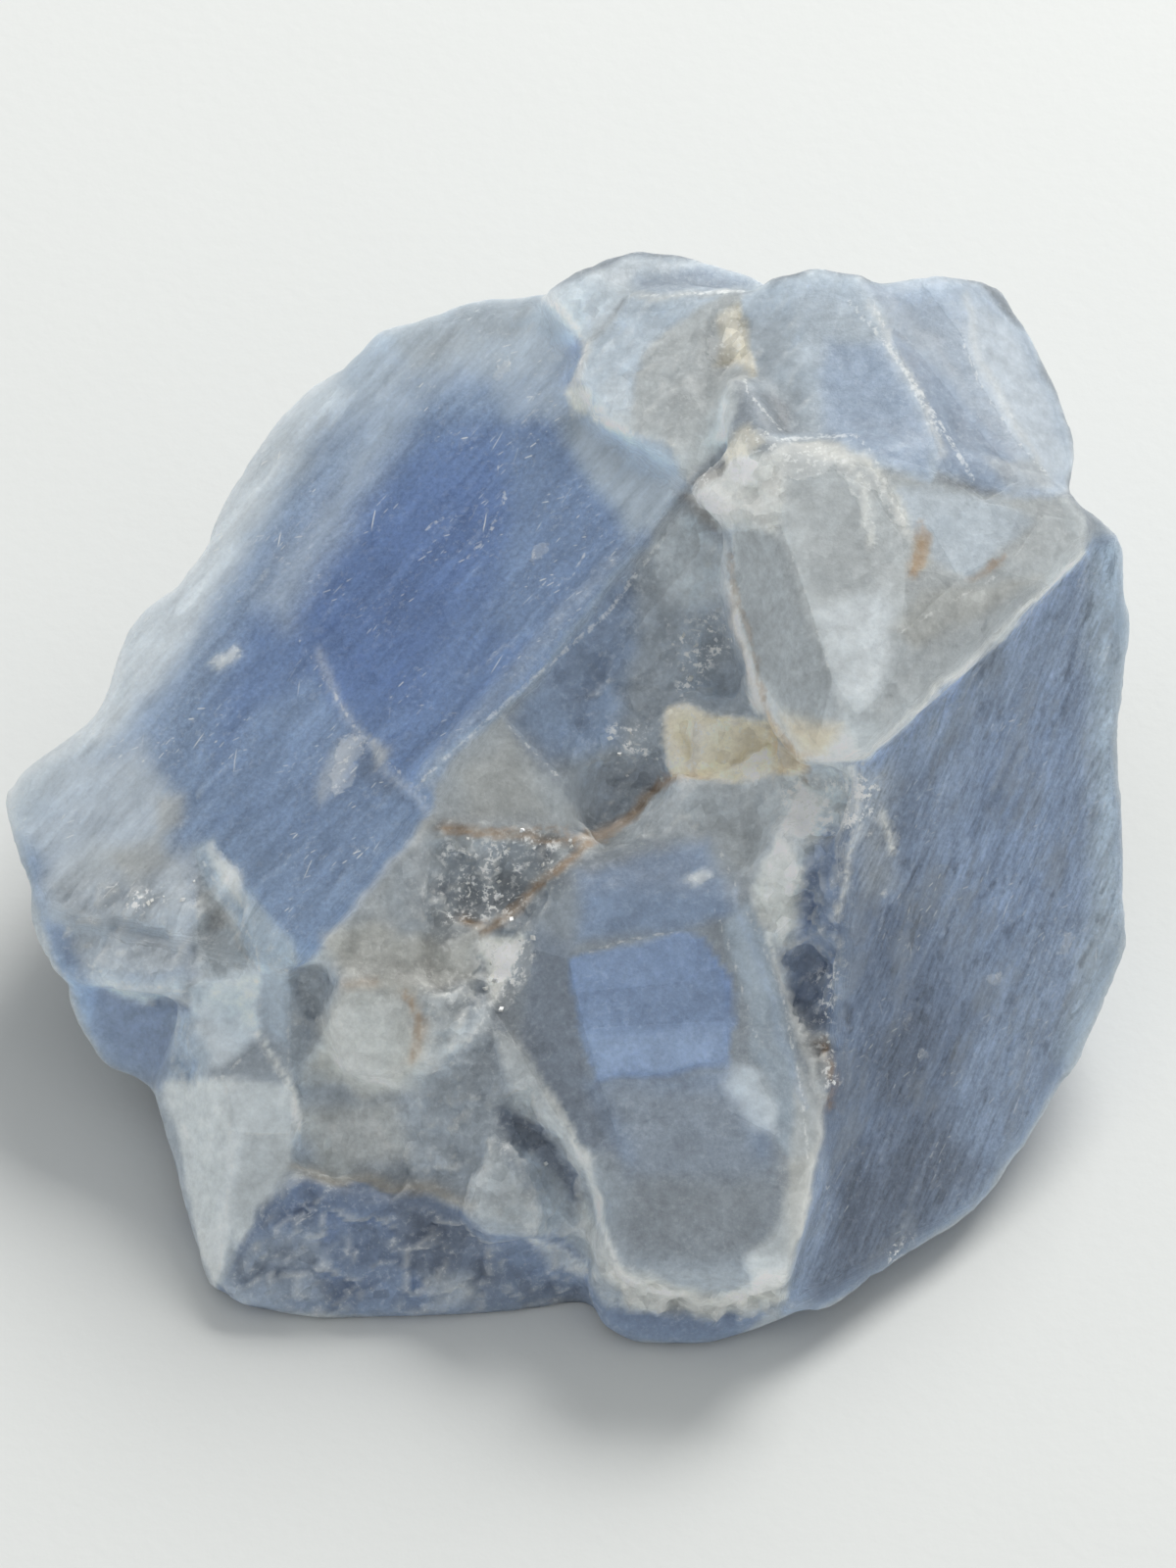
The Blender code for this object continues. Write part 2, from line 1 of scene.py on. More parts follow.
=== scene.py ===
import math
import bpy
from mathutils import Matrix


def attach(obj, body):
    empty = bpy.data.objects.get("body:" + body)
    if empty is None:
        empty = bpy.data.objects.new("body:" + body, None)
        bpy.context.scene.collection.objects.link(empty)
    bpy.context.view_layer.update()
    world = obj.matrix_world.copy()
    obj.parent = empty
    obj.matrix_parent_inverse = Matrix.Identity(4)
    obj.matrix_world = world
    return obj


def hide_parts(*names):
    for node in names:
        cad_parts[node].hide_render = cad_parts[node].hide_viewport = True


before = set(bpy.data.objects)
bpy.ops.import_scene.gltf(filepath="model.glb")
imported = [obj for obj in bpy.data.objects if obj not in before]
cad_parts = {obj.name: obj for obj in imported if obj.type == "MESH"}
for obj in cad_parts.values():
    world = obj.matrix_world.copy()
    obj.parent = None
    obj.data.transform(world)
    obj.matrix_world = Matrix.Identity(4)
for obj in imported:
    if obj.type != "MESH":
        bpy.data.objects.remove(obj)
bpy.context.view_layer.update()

# %% [markdown]
# # A lump of blue calcite
#
# The object is one broken lump of blue calcite, 46 mm wide. Calcite splits along three flat directions,
# so the lump is a heap of tilted blocks: two large blue faces, a milky white crown between them, and
# grey, rust-stained crumble in the middle. It is translucent. Its thin rims are pale and its thick parts
# are blue.
#
# The packed model gives the stone as one solid with flat sides and sharp edges. This script takes a copy
# of it, breaks and wears its surface, paints the stone's zones on it, and gives it one material with
# light passing under the skin. A crust of small crystals comes last.

# %% Modules for working on the packed stone
from types import SimpleNamespace

import bmesh
import bpy
import numpy as np
from mathutils import Matrix, Vector, bvhtree, kdtree, noise

# %% [markdown]
# ## The sheet
#
# The stone is seen from the front and above, 55 degrees over the floor. Its zones are easiest to place on
# a sheet that faces this view: 1200 units wide, 1600 high, and 25 units to a millimetre. `RIGHT` and `UP`
# are the sheet's own directions in the world, and `OUT` points from it to the viewer. A place on the
# stone lands on the sheet along `OUT`, as a shadow does.

# %% The sheet's place and directions
UNITS_PER_MM = 25.0
SHEET_MIDDLE = Vector((600.0, 800.0))
TIP = math.radians(55.0)
RIGHT = Vector((1.0, 0.0, 0.0))
UP = Vector((0.0, math.sin(TIP), math.cos(TIP)))
OUT = Vector((0.0, -math.cos(TIP), math.sin(TIP)))
SHEET_ORIGIN = Vector((1.0, -1.588, 12.619))  # mm, where the middle of the sheet is in the packed frame


def on_sheet(points):
    """The sheet units, across and down, of places given in millimetres."""
    local = points - np.array(SHEET_ORIGIN)
    across = SHEET_MIDDLE.x + UNITS_PER_MM * local @ np.array(RIGHT)
    down = SHEET_MIDDLE.y - UNITS_PER_MM * local @ np.array(UP)
    return across, down


print("the view looks down at", round(math.degrees(TIP)), "degrees")

# %% [markdown]
# ## Camera
#
# A long lens from 0.7 m gives the near-parallel view that a close-up of a small stone has. The sensor's
# 36 mm cover the frame's 64 mm of height, so the focal length follows from the distance.

# %% Camera
VIEW_DISTANCE = 0.7
FRAME_HEIGHT = 0.064
SENSOR = 36.0

camera = bpy.data.objects.new("Camera", bpy.data.cameras.new("Camera"))
bpy.context.scene.collection.objects.link(camera)
camera.data.sensor_fit = "AUTO"
camera.data.sensor_width = SENSOR
camera.data.lens = SENSOR * VIEW_DISTANCE / FRAME_HEIGHT
camera.data.clip_start = 0.05
camera.data.clip_end = 20.0
turn = Matrix((RIGHT, UP, OUT)).transposed().to_4x4()
camera.matrix_world = Matrix.Translation(SHEET_ORIGIN * 0.001 + OUT * VIEW_DISTANCE) @ turn
bpy.context.scene.camera = camera
print("focal length, mm:", round(camera.data.lens, 1))

# %% [markdown]
# ## Floor and light
#
# The stone lies on pale paper near a large window. One broad soft lamp stands in for the window, behind
# the stone, to the right and high up, so the shadow falls softly to the front and the left. A pale grey
# world fills the shadows. Both lights are almost neutral, so the blues are the stone's own.

# %% Lamp and world
def soft_lamp(name, place, aim, side, watts, colour):
    """A square lamp that shines from one place towards another."""
    lamp = bpy.data.lights.new(name, "AREA")
    lamp.shape = "SQUARE"
    lamp.size = side
    lamp.energy = watts
    lamp.color = colour
    made = bpy.data.objects.new(name, lamp)
    made.location = place
    made.rotation_mode = "QUATERNION"
    made.rotation_quaternion = (Vector(aim) - Vector(place)).to_track_quat("-Z", "Y")
    bpy.context.scene.collection.objects.link(made)
    return made


WINDOW = (0.24, 0.42, 0.45)  # m, where the lamp stands
LAMP_SIDE = 0.36  # m
WATTS = 4.25
ROOM = 0.56  # brightness of the world, where 1 makes white paper look white
soft_lamp("Window", WINDOW, (0.0, 0.0, 0.01), LAMP_SIDE, WATTS, (1.0, 0.985, 0.96))
world = bpy.data.worlds.new("Pale room")
world.use_nodes = True
world.node_tree.nodes["Background"].inputs["Color"].default_value = (0.96, 0.98, 1.0, 1.0)
world.node_tree.nodes["Background"].inputs["Strength"].default_value = ROOM
bpy.context.scene.world = world
bpy.context.scene.view_settings.view_transform = "Standard"

# %% [markdown]
# ## A fine skin
#
# The packed solid is a few thousand flat triangles with sharp edges. Breaks, steps and pits need many
# small faces, so a copy is remeshed in cubes of about a quarter of a millimetre. The voxel remesher also
# closes the copy and gives even faces, which subdividing long thin triangles would not. The work is done
# in millimetres and goes back to metres at the end.
#
# The blocks of the real stone grew together, and the packed solid leaves narrow dark crevices between
# some of them. Swelling the skin by `HEAL`, remeshing it and shrinking it again closes every gap that is
# narrower than twice `HEAL`. It shrinks by `WEAR` less than it swelled, because the rounding and breaking
# that follow take that much off the outline again.

# %% Copying the solid in millimetres
VOXEL = 0.262  # mm
HEAL = 0.7  # mm, half the width of the crevices that are healed
WEAR = 0.30  # mm, what remeshing and rounding take off the blocks, so the skin starts out that much larger


def copy_in_mm(node):
    """The node's solid with its corners joined, as a mesh in millimetres and as a tree to shoot rays at."""
    shape = bmesh.new()
    shape.from_mesh(node.data)
    bmesh.ops.remove_doubles(shape, verts=shape.verts, dist=1e-6)
    shape.transform(Matrix.Scale(1000.0, 4))
    bmesh.ops.recalc_face_normals(shape, faces=shape.faces)
    mesh = bpy.data.meshes.new("solid in mm")
    shape.to_mesh(mesh)
    target = bvhtree.BVHTree.FromBMesh(shape)
    shape.free()
    return mesh, target


def as_result(thing):
    """The object's mesh with its modifiers done."""
    graph = bpy.context.evaluated_depsgraph_get()
    return bpy.data.meshes.new_from_object(thing.evaluated_get(graph))


solid, target = copy_in_mm(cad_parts["calcite"])
stone = bpy.data.objects.new("calcite_stone", solid)
bpy.context.scene.collection.objects.link(stone)


def add_remesh():
    remesh = stone.modifiers.new("fine skin", "REMESH")
    remesh.mode = "VOXEL"
    remesh.voxel_size = VOXEL


def add_offset(distance):
    offset = stone.modifiers.new("offset", "DISPLACE")
    offset.mid_level = 0.0
    offset.strength = distance


add_remesh()
for distance in (HEAL, WEAR - HEAL):
    add_offset(distance)
    add_remesh()
fine = as_result(stone)
stone.modifiers.clear()
stone.data = fine
print("corners:", len(solid.vertices), "->", len(fine.vertices), "triangles:", 2 * len(fine.polygons))

# %% [markdown]
# The skin is read into plain arrays, which are quick to work on: where each corner is, which way it
# faces, and which corners its edges join. `spread` lets a value bleed along the edges to its neighbours,
# and everything that has to be soft on the stone uses it.

# %% Arrays of the skin
def read(owner, name, width):
    values = np.empty(len(owner) * width)
    owner.foreach_get(name, values)
    return values.reshape(-1, width) if width > 1 else values


def normals_now(points):
    """Puts the points on the mesh and gives the direction that each one faces."""
    fine.vertices.foreach_set("co", points.ravel())
    fine.update()
    return read(fine.vertex_normals, "vector", 3)


points = read(fine.vertices, "co", 3)
edge_ends = np.empty(2 * len(fine.edges), np.int32)
fine.edges.foreach_get("vertices", edge_ends)
edge_ends = edge_ends.reshape(-1, 2)
from_end = np.concatenate([edge_ends[:, 0], edge_ends[:, 1]])
to_end = np.concatenate([edge_ends[:, 1], edge_ends[:, 0]])
neighbours = np.bincount(from_end, minlength=len(points))


def spread(values, rounds, share=0.5):
    """The values after each corner has taken a share from its neighbours, several times over."""
    values = np.array(values, float)
    columns = values.reshape(len(values), -1)
    for _ in range(rounds):
        for column in columns.T:
            around = np.bincount(from_end, weights=column[to_end], minlength=len(column)) / neighbours
            column += share * (around - column)
    return columns.reshape(values.shape)


points = spread(points, 2, 0.4)
normals = normals_now(points)
area = read(fine.polygons, "area", 1).sum()
print("skin area, square mm:", round(area))

# %% [markdown]
# ## What each place on the skin is like
#
# Four things decide how a place on a stone looks: whether it is a ridge or a crease, how thick the stone
# is behind it, whether the viewer sees it, and which of the three cleavage directions it faces. The
# thickness comes from rays shot inwards, the seen side from rays shot towards the viewer.

# %% Ridges, thickness, seen side and cleavage
STEP_IN = 0.6  # mm, how far inside the packed solid an inward ray starts
STEP_OUT = 0.4  # mm, how far outside the skin a ray to the viewer starts
THICKEST = 30.0  # mm
WAY_OUT = 60.0  # mm, far enough to leave the stone


def smooth(low, high, value):
    """0 below low, 1 above high, and a soft step between."""
    share = np.clip((value - low) / (high - low), 0.0, 1.0)
    return share * share * (3.0 - 2.0 * share)


def unit(vector):
    return vector / np.linalg.norm(vector)


def from_sheet(right, up, out):
    return unit(right * np.array(RIGHT) + up * np.array(UP) + out * np.array(OUT))


LEFT_CLEAVAGE = from_sheet(-0.44, 0.47, 1.0)
RIGHT_CLEAVAGE = from_sheet(0.65, -0.195, 1.0)
THIRD_CLEAVAGE = unit(unit(np.cross(LEFT_CLEAVAGE, RIGHT_CLEAVAGE)) - 0.2 * (LEFT_CLEAVAGE + RIGHT_CLEAVAGE))
CLEAVAGES = np.array([LEFT_CLEAVAGE, RIGHT_CLEAVAGE, THIRD_CLEAVAGE])

rounded = spread(points, 6)
ridge = ((points - rounded) * normals).sum(1)
wide_ridge = ((points - spread(rounded, 24)) * normals).sum(1)


def thickness(point, normal):
    """How far a ray goes inside the stone before it comes out, in mm."""
    start = Vector(point - STEP_IN * normal)
    found = target.ray_cast(start, Vector(-normal), THICKEST)[3]
    return 0.0 if found is None else found + STEP_IN


def in_view(point, normal):
    """1 where nothing stands between the place and the viewer."""
    if normal @ np.array(OUT) < 0.02:
        return 0.0
    return float(target.ray_cast(Vector(point + STEP_OUT * normal), OUT, WAY_OUT)[3] is None)


thick = spread([thickness(*pair) for pair in zip(points, normals)], 3)
seen = smooth(0.1, 0.5, spread([in_view(*pair) for pair in zip(points, normals)], 8))
on_left = smooth(0.955, 0.99, np.abs(normals @ LEFT_CLEAVAGE))
on_right = smooth(0.955, 0.99, np.abs(normals @ RIGHT_CLEAVAGE))
above_rest = smooth(0.05, 0.9, points[:, 2])
print("share of the skin in view:", round(float(seen.mean()), 2))
print("median thickness, mm:", round(float(np.median(thick)), 1))

# %% [markdown]
# ## Broken and smooth zones
#
# Where a block split cleanly the face is flat and glossy. Where it tore, the surface is a crumble of
# small steps. `CRUMBLE` lists the torn zones as outlines on the sheet with a strength. The borders of all
# outlines are shaken by smooth noise first, because a straight border on a stone looks drawn. Without a
# seed that noise would come from the clock, and the stone would differ a little each time.

# %% Outlines and how far inside them a place is
def gap_to_line(x, y, corners):
    """How far each place is from the line through the corners, in sheet units."""
    gap = np.full(len(x), 1e9)
    for (x0, y0), (x1, y1) in zip(corners, corners[1:]):
        dx, dy = x1 - x0, y1 - y0
        along = np.clip(((x - x0) * dx + (y - y0) * dy) / (dx * dx + dy * dy), 0.0, 1.0)
        gap = np.minimum(gap, np.hypot(x - x0 - along * dx, y - y0 - along * dy))
    return gap


def gap_inside(x, y, outline):
    """How far each place is inside the outline. It is negative outside."""
    inside = np.zeros(len(x), bool)
    for (x0, y0), (x1, y1) in zip(outline, outline[1:] + outline[:1]):
        if y0 != y1:
            inside ^= ((y0 > y) != (y1 > y)) & (x < (x1 - x0) * (y - y0) / (y1 - y0) + x0)
    gap = gap_to_line(x, y, outline + outline[:1])
    return np.where(inside, gap, -gap)


noise.seed_set(1)


def field(points, size, seed):
    """Smooth noise from -1 to 1 at each place, with lumps of the size in mm."""
    return np.array([noise.noise(Vector(point) / size + Vector((seed, 7.0, 3.0))) for point in points])


def fields(points, size, seed):
    """Three smooth noises at each place, as a shift."""
    return np.array([noise.noise_vector(Vector(point) / size + Vector((seed, 1.0, 5.0))) for point in points])


shaken = points + 0.22 * fields(points, 1.5, 11.0) + 0.09 * fields(points, 0.55, 12.0)
across, down = on_sheet(shaken)
print("borders move by up to, mm:", round(float(np.abs(shaken - points).max()), 2))

# %% The torn zones
# strength, softness of the border in sheet units, outline
CRUMBLE = [
    (0.35, 20, [
        (700, 495), (745, 540), (762, 640), (775, 720), (690, 725), (640, 760), (600, 790), (560, 760),
        (650, 560),
    ]),
    (0.6, 14, [(600, 780), (690, 745), (690, 800), (650, 840), (590, 850)]),
    (0.9, 10, [(680, 727), (700, 717), (782, 738), (800, 740), (822, 790), (740, 800), (682, 796)]),
    (0.45, 20, [
        (690, 796), (850, 780), (850, 840), (790, 850), (765, 900), (728, 850), (600, 870), (650, 825),
    ]),
    (0.8, 14, [
        (790, 800), (870, 780), (865, 900), (850, 1130), (838, 1125), (800, 1010), (768, 930), (790, 850),
    ]),
    (0.75, 20, [
        (440, 838), (600, 850), (640, 845), (590, 880), (545, 945), (505, 1040), (430, 1110), (430, 940),
    ]),
    (0.25, 20, [(440, 838), (430, 1110), (312, 1105), (350, 1000), (335, 962)]),
    (0.5, 20, [(300, 1140), (430, 1105), (505, 1040), (600, 1200), (600, 1290), (480, 1230), (300, 1200)]),
    (0.6, 16, [(222, 1330), (258, 1245), (300, 1200), (500, 1255), (604, 1290), (604, 1345), (235, 1345)]),
    (0.8, 10, [(610, 1285), (700, 1318), (800, 1296), (795, 1335), (740, 1350), (600, 1330)]),
    (0.8, 10, [(728, 320), (762, 306), (772, 385), (752, 372), (728, 372)]),
    (0.9, 10, [(700, 500), (738, 470), (748, 440), (782, 445), (800, 500), (790, 545), (745, 540)]),
    (0.5, 16, [(60, 900), (200, 900), (215, 1000), (200, 1100), (165, 1110), (180, 1040), (60, 990)]),
    (0.45, 14, [(200, 868), (262, 920), (302, 985), (240, 1002), (203, 992)]),
    (0.5, 10, [(298, 986), (350, 990), (320, 1060), (318, 1140), (300, 1110)]),
    (0.18, 16, [(590, 290), (790, 280), (760, 320), (700, 500), (590, 425)]),
]


CLEAN = 0.04  # how torn the clean faces are
HIDDEN_TORN = 0.6  # how torn the hidden sides are where their noise is high


def crumble():
    """How torn each place is: from the list where the viewer sees it, and from noise on the hidden sides."""
    listed = np.full(len(points), CLEAN)
    for strength, soft, outline in CRUMBLE:
        share = smooth(-soft / 2, soft / 2, gap_inside(across, down, outline))
        listed = np.maximum(listed, strength * share)
    hidden = HIDDEN_TORN * smooth(-0.1, 0.35, field(points, 7.0, 21.0))
    return seen * listed + (1.0 - seen) * hidden


torn = spread(crumble(), 1)
print("torn share of the skin:", round(float((torn > 0.3).mean()), 2))

# %% [markdown]
# ## Breaking the skin
#
# Calcite breaks in little flat steps that all follow the three cleavage directions, so neighbouring steps
# glint together. `facets` copies this. It drops seeds on the skin, gives every seed a plane along one of
# the directions, and moves each place of the skin towards the plane of its nearest seed. Small seeds make
# crumble, and long, almost level seeds make the low terraces of a clean face.

# %% Steps along the cleavage directions
def facets(size, lean, wander, lift, seed, stretch=None):
    """How far each place moves outwards to reach its seed's plane, in mm, and a random tone of that seed.

    Seeds are about `size` mm apart. `lean` is how strictly they take the direction that the skin faces most,
    `wander` how far their planes turn away from it, and `lift` how far they stand off the skin. The matrix
    `stretch` makes them long.
    """
    dice = np.random.default_rng(seed)
    shape = points if stretch is None else points @ stretch
    chosen = dice.choice(len(points), int(area / size**2), replace=False)
    seeds = kdtree.KDTree(len(chosen))
    for place, index in enumerate(chosen):
        seeds.insert(shape[index], place)
    seeds.balance()
    nearest = np.array([seeds.find(point)[1] for point in shape])
    toward = normals[chosen] @ CLEAVAGES.T
    weight = np.abs(toward) ** lean
    weight /= weight.sum(1, keepdims=True)
    pick = (weight.cumsum(1) > dice.random(len(chosen))[:, None]).argmax(1)
    plane = CLEAVAGES[pick] * np.sign(toward[np.arange(len(chosen)), pick])[:, None]
    plane += wander * dice.normal(size=plane.shape)
    plane /= np.linalg.norm(plane, axis=1, keepdims=True)
    start = points[chosen] + lift * dice.normal(size=(len(chosen), 1)) * normals[chosen]
    plane, start = plane[nearest], start[nearest]
    facing = np.clip((normals * plane).sum(1), 0.35, 1.0)
    tone = dice.uniform(-1.0, 1.0, len(chosen))[nearest]
    return ((start - points) * plane).sum(1) / facing, tone


def terrace_stretch(cleavage, along, length):
    """A matrix that makes seeds reach far along one direction of a cleavage face."""
    side = np.cross(cleavage, along)
    axes = np.array([along, side, cleavage])
    return axes.T @ np.diag([1.0 / length, 1.0, 1.0]) @ axes


LEFT_GRAIN = from_sheet(0.66, 0.75, -0.06)
RIGHT_GRAIN = from_sheet(0.38, 0.92, -0.07)

left_reach = terrace_stretch(LEFT_CLEAVAGE, LEFT_GRAIN, length=5.0)
right_reach = terrace_stretch(RIGHT_CLEAVAGE, RIGHT_GRAIN, length=6.0)
coarse, coarse_tone = facets(size=1.9, lean=5.0, wander=0.10, lift=0.12, seed=31)
small, small_tone = facets(size=0.85, lean=4.0, wander=0.14, lift=0.05, seed=32)
left_steps, left_tone = facets(1.5, lean=40.0, wander=0.012, lift=0.016, seed=33, stretch=left_reach)
right_steps, right_tone = facets(1.1, lean=40.0, wander=0.014, lift=0.016, seed=34, stretch=right_reach)
print("crumble depth, mm:", np.round(np.percentile(coarse, [5, 50, 95]), 2))

# %% [markdown]
# Edges of soft, brittle calcite are never whole. They are rubbed round a little and nibbled in places, so
# the ridges lose material where a noise is high. A slow waviness bends the remaining straight lines.
# Everything fades out at the bottom, where the stone rests on a flat face.

# %% Wearing the edges and putting the relief together
nibble = smooth(0.02, 0.10, wide_ridge) * smooth(0.05, 0.5, field(points, 0.9, 41.0))
pits = smooth(0.45, 0.75, field(points, 0.7, 42.0)) * (0.15 + torn)
whole = 1.0 - 0.8 * smooth(0.03, 0.12, wide_ridge)
relief = torn * whole * (0.5 * np.clip(coarse, -0.5, 0.35) + 0.5 * np.clip(small, -0.22, 0.16))
steps = on_left * np.clip(left_steps, -0.06, 0.06) + on_right * np.clip(right_steps, -0.06, 0.06)
relief += (1.0 - torn) * whole * steps
relief += 0.02 * field(points, 0.6, 43.0) * (0.3 + torn)
relief -= (0.05 + 0.16 * torn) * nibble + 0.08 * pits
bend = 0.10 * fields(points, 3.6, 44.0) + 0.05 * fields(points, 1.3, 45.0)
moved = points + above_rest[:, None] * (bend + relief[:, None] * normals)
moved[:, 2] = np.maximum(moved[:, 2], 0.0)
points, normals = moved, normals_now(moved)
ridge = ((points - spread(points, 3)) * normals).sum(1)
print("skin moved by up to, mm:", round(float(np.abs(relief).max()), 2))

# %% [markdown]
# ## The stone's colours
#
# Twenty-two colours, named for what they are on the stone, are enough. Blue is the thick, clear stone. It
# fades through sky blue to pale where the stone is thin or milky. Greys belong to the clear but shaded
# blocks of the middle. Cream, tan, rust and umber come from iron and clay in the cracks, and frost is
# bruised calcite. They are given as 0 to 255, as a colour picker shows them, and turned to light before
# use.

# %% Named colours
PALETTE = {
    "deep_blue": (97, 119, 157),
    "blue": (109, 130, 163),
    "worn_blue": (122, 140, 164),
    "dusk_blue": (120, 133, 151),
    "haze": (147, 159, 169),
    "sky_blue": (150, 166, 186),
    "pale_blue": (172, 183, 192),
    "pale": (183, 191, 196),
    "lilac": (196, 202, 205),
    "milk": (189, 192, 188),
    "frost": (208, 209, 204),
    "veil": (170, 175, 176),
    "stone_grey": (149, 154, 156),
    "smoke": (130, 137, 143),
    "dark_smoke": (108, 115, 122),
    "night": (88, 96, 108),
    "slate": (98, 110, 128),
    "beige": (163, 163, 157),
    "cream": (206, 198, 176),
    "tan": (174, 164, 143),
    "rust": (158, 128, 92),
    "umber": (112, 104, 94),
}


def linear(colour):
    """A colour from 0 to 255 as the light that it stands for."""
    share = np.asarray(colour, float) / 255.0
    return np.where(share <= 0.04045, share / 12.92, ((share + 0.055) / 1.055) ** 2.4)


print("colours:", ", ".join(PALETTE))

# %% [markdown]
# ## The stone's zones
#
# The zones are patches on the sheet, painted over each other from the large to the small. A row holds a
# colour, the softness of the border in sheet units, a strength, and the outline. Soft borders read as
# stone seen through stone, and hard ones as an edge between two blocks. Noise alone could mottle the
# stone, but it would put no colour where the real stone has it, so the places are drawn block by block.
#
# The left face comes first. It is the largest clean split, deep blue where the block is thick and pale
# along its thin upper rim, partly from painted light: light from behind that comes through the thin
# stone. One gradient can't follow that rim, so wide soft patches of ever paler blue lie over each other
# towards it.

# %% Patches: the left face
patches = []


def add_patches(place, rows):
    """Lays more patches over the ones that are there, and says how many."""
    patches.extend(rows)
    print(place + ":", len(rows), "patches")


add_patches("the left face", [
    ("worn_blue", 14, 1.0, [
        (0, 820), (60, 765), (110, 705), (150, 622), (210, 560), (262, 460), (350, 375), (400, 322),
        (500, 297), (556, 295), (600, 352), (575, 400), (600, 430), (690, 440), (705, 495), (650, 560),
        (510, 730), (435, 835), (335, 965), (300, 990), (200, 870), (200, 1000), (100, 1010), (40, 930),
    ]),
    ("blue", 60, 1.0, [
        (330, 500), (440, 430), (600, 430), (680, 490), (640, 560), (520, 700), (430, 790), (330, 900),
        (230, 830), (220, 720), (260, 600),
    ]),
    ("deep_blue", 70, 0.95, [
        (290, 620), (350, 540), (430, 470), (500, 460), (520, 520), (470, 620), (420, 720), (340, 720),
    ]),
    ("worn_blue", 30, 0.55, [(520, 440), (680, 480), (650, 560), (560, 660), (500, 640), (520, 540)]),
    ("worn_blue", 25, 0.75, [
        (320, 690), (365, 745), (440, 830), (380, 910), (300, 960), (240, 880), (215, 800), (250, 730),
    ]),
    ("sky_blue", 80, 1.0, [
        (130, 800), (220, 640), (300, 500), (400, 400), (560, 400), (580, 350), (540, 290), (400, 300),
        (200, 500), (80, 700), (60, 830),
    ]),
    ("pale_blue", 50, 0.6, [(255, 610), (330, 500), (390, 395), (440, 390), (350, 540), (290, 640)]),
    ("pale_blue", 45, 0.9, [
        (20, 830), (110, 760), (190, 660), (250, 560), (330, 440), (420, 385), (570, 370), (600, 340),
        (540, 280), (380, 300), (230, 470), (100, 680), (-20, 800),
    ]),
    ("lilac", 35, 0.75, [
        (-10, 830), (60, 790), (130, 730), (180, 660), (240, 560), (300, 450), (350, 400), (330, 360),
        (200, 520), (100, 680), (-20, 780),
    ]),
    ("pale", 25, 0.3, [(390, 330), (500, 300), (560, 296), (580, 330), (500, 350), (420, 365)]),
    ("stone_grey", 30, 0.5, [(390, 330), (470, 312), (480, 350), (420, 370)]),
    ("stone_grey", 25, 0.5, [(460, 305), (560, 294), (585, 335), (480, 345)]),
    ("pale", 40, 0.75, [(-20, 830), (60, 780), (140, 760), (180, 820), (170, 870), (60, 900)]),
    ("veil", 40, 0.75, [(40, 900), (100, 860), (200, 870), (205, 1000), (100, 1005), (45, 960)]),
    ("beige", 20, 0.4, [(110, 870), (160, 850), (175, 880), (130, 900)]),
    ("beige", 14, 0.5, [(155, 815), (185, 808), (185, 845), (160, 850)]),
    ("pale", 10, 0.8, [(212, 675), (240, 655), (244, 668), (222, 682)]),
    ("frost", 14, 0.3, [(345, 755), (365, 750), (350, 800), (325, 825), (320, 805)]),
    ("slate", 12, 0.5, [(368, 760), (430, 830), (395, 815), (365, 790)]),
    ("beige", 12, 0.5, [(375, 755), (400, 770), (385, 785)]),
    ("haze", 30, 0.8, [(570, 400), (600, 425), (700, 440), (705, 495), (655, 565), (610, 500), (570, 440)]),
    ("pale_blue", 30, 0.55, [(590, 415), (700, 440), (705, 495), (655, 555), (615, 500), (580, 450)]),
    ("pale_blue", 30, 0.5, [(480, 340), (560, 330), (575, 410), (600, 430), (520, 425)]),
])

# %% [markdown]
# Under the lower corner of the left face, a thin frosted strip stands over a small shaded face. They are
# two little splits of their own, so their borders are hard.

# %% Patches: the step strip and the dark triangle under it
add_patches("the step strip and the dark triangle under it", [
    ("haze", 10, 1.0, [(200, 868), (218, 858), (262, 920), (300, 955), (302, 985), (268, 995), (205, 892)]),
    ("frost", 12, 0.6, [(215, 862), (245, 890), (250, 925), (228, 905)]),
    ("stone_grey", 8, 0.9, [(200, 910), (225, 907), (262, 985), (240, 1002), (203, 992)]),
    ("haze", 8, 0.7, [(200, 930), (225, 925), (258, 985), (240, 1000), (203, 990)]),
    ("veil", 8, 0.4, [(200, 910), (225, 907), (262, 985), (240, 1002), (203, 992)]),
    ("umber", 10, 0.35, [(212, 928), (232, 925), (236, 948), (218, 950)]),
    ("pale", 12, 0.9, [(200, 1000), (265, 990), (268, 1060), (215, 1090), (190, 1040)]),
])

# %% [markdown]
# At the far left the stone overhangs. Its lip catches light along the edge, so it is painted as a pale
# line, a painted highlight, and the recess under it lies in blue-grey shade.

# %% Patches: the lip and the recess at the lower left
add_patches("the lip and the recess at the lower left", [
    ("pale_blue", 14, 0.7, [(90, 985), (130, 1000), (190, 1000), (190, 1018), (130, 1018), (95, 1008)]),
    ("worn_blue", 14, 0.8, [(40, 940), (62, 945), (100, 1010), (95, 1060), (70, 1020)]),
    ("slate", 10, 0.75, [
        (98, 1012), (150, 1022), (190, 1025), (205, 1060), (200, 1095), (165, 1112), (105, 1088),
        (88, 1055),
    ]),
    ("dusk_blue", 14, 0.6, [(98, 1012), (150, 1022), (175, 1030), (165, 1095), (105, 1088), (88, 1055)]),
    ("haze", 12, 0.6, [(178, 1040), (200, 1030), (215, 1080), (205, 1105), (165, 1108)]),
])

# %% [markdown]
# Below them stands a pale prism. Its two long sides meet in a ridge and differ little in tone, so one
# flat patch for each side is enough, and the light does the rest.

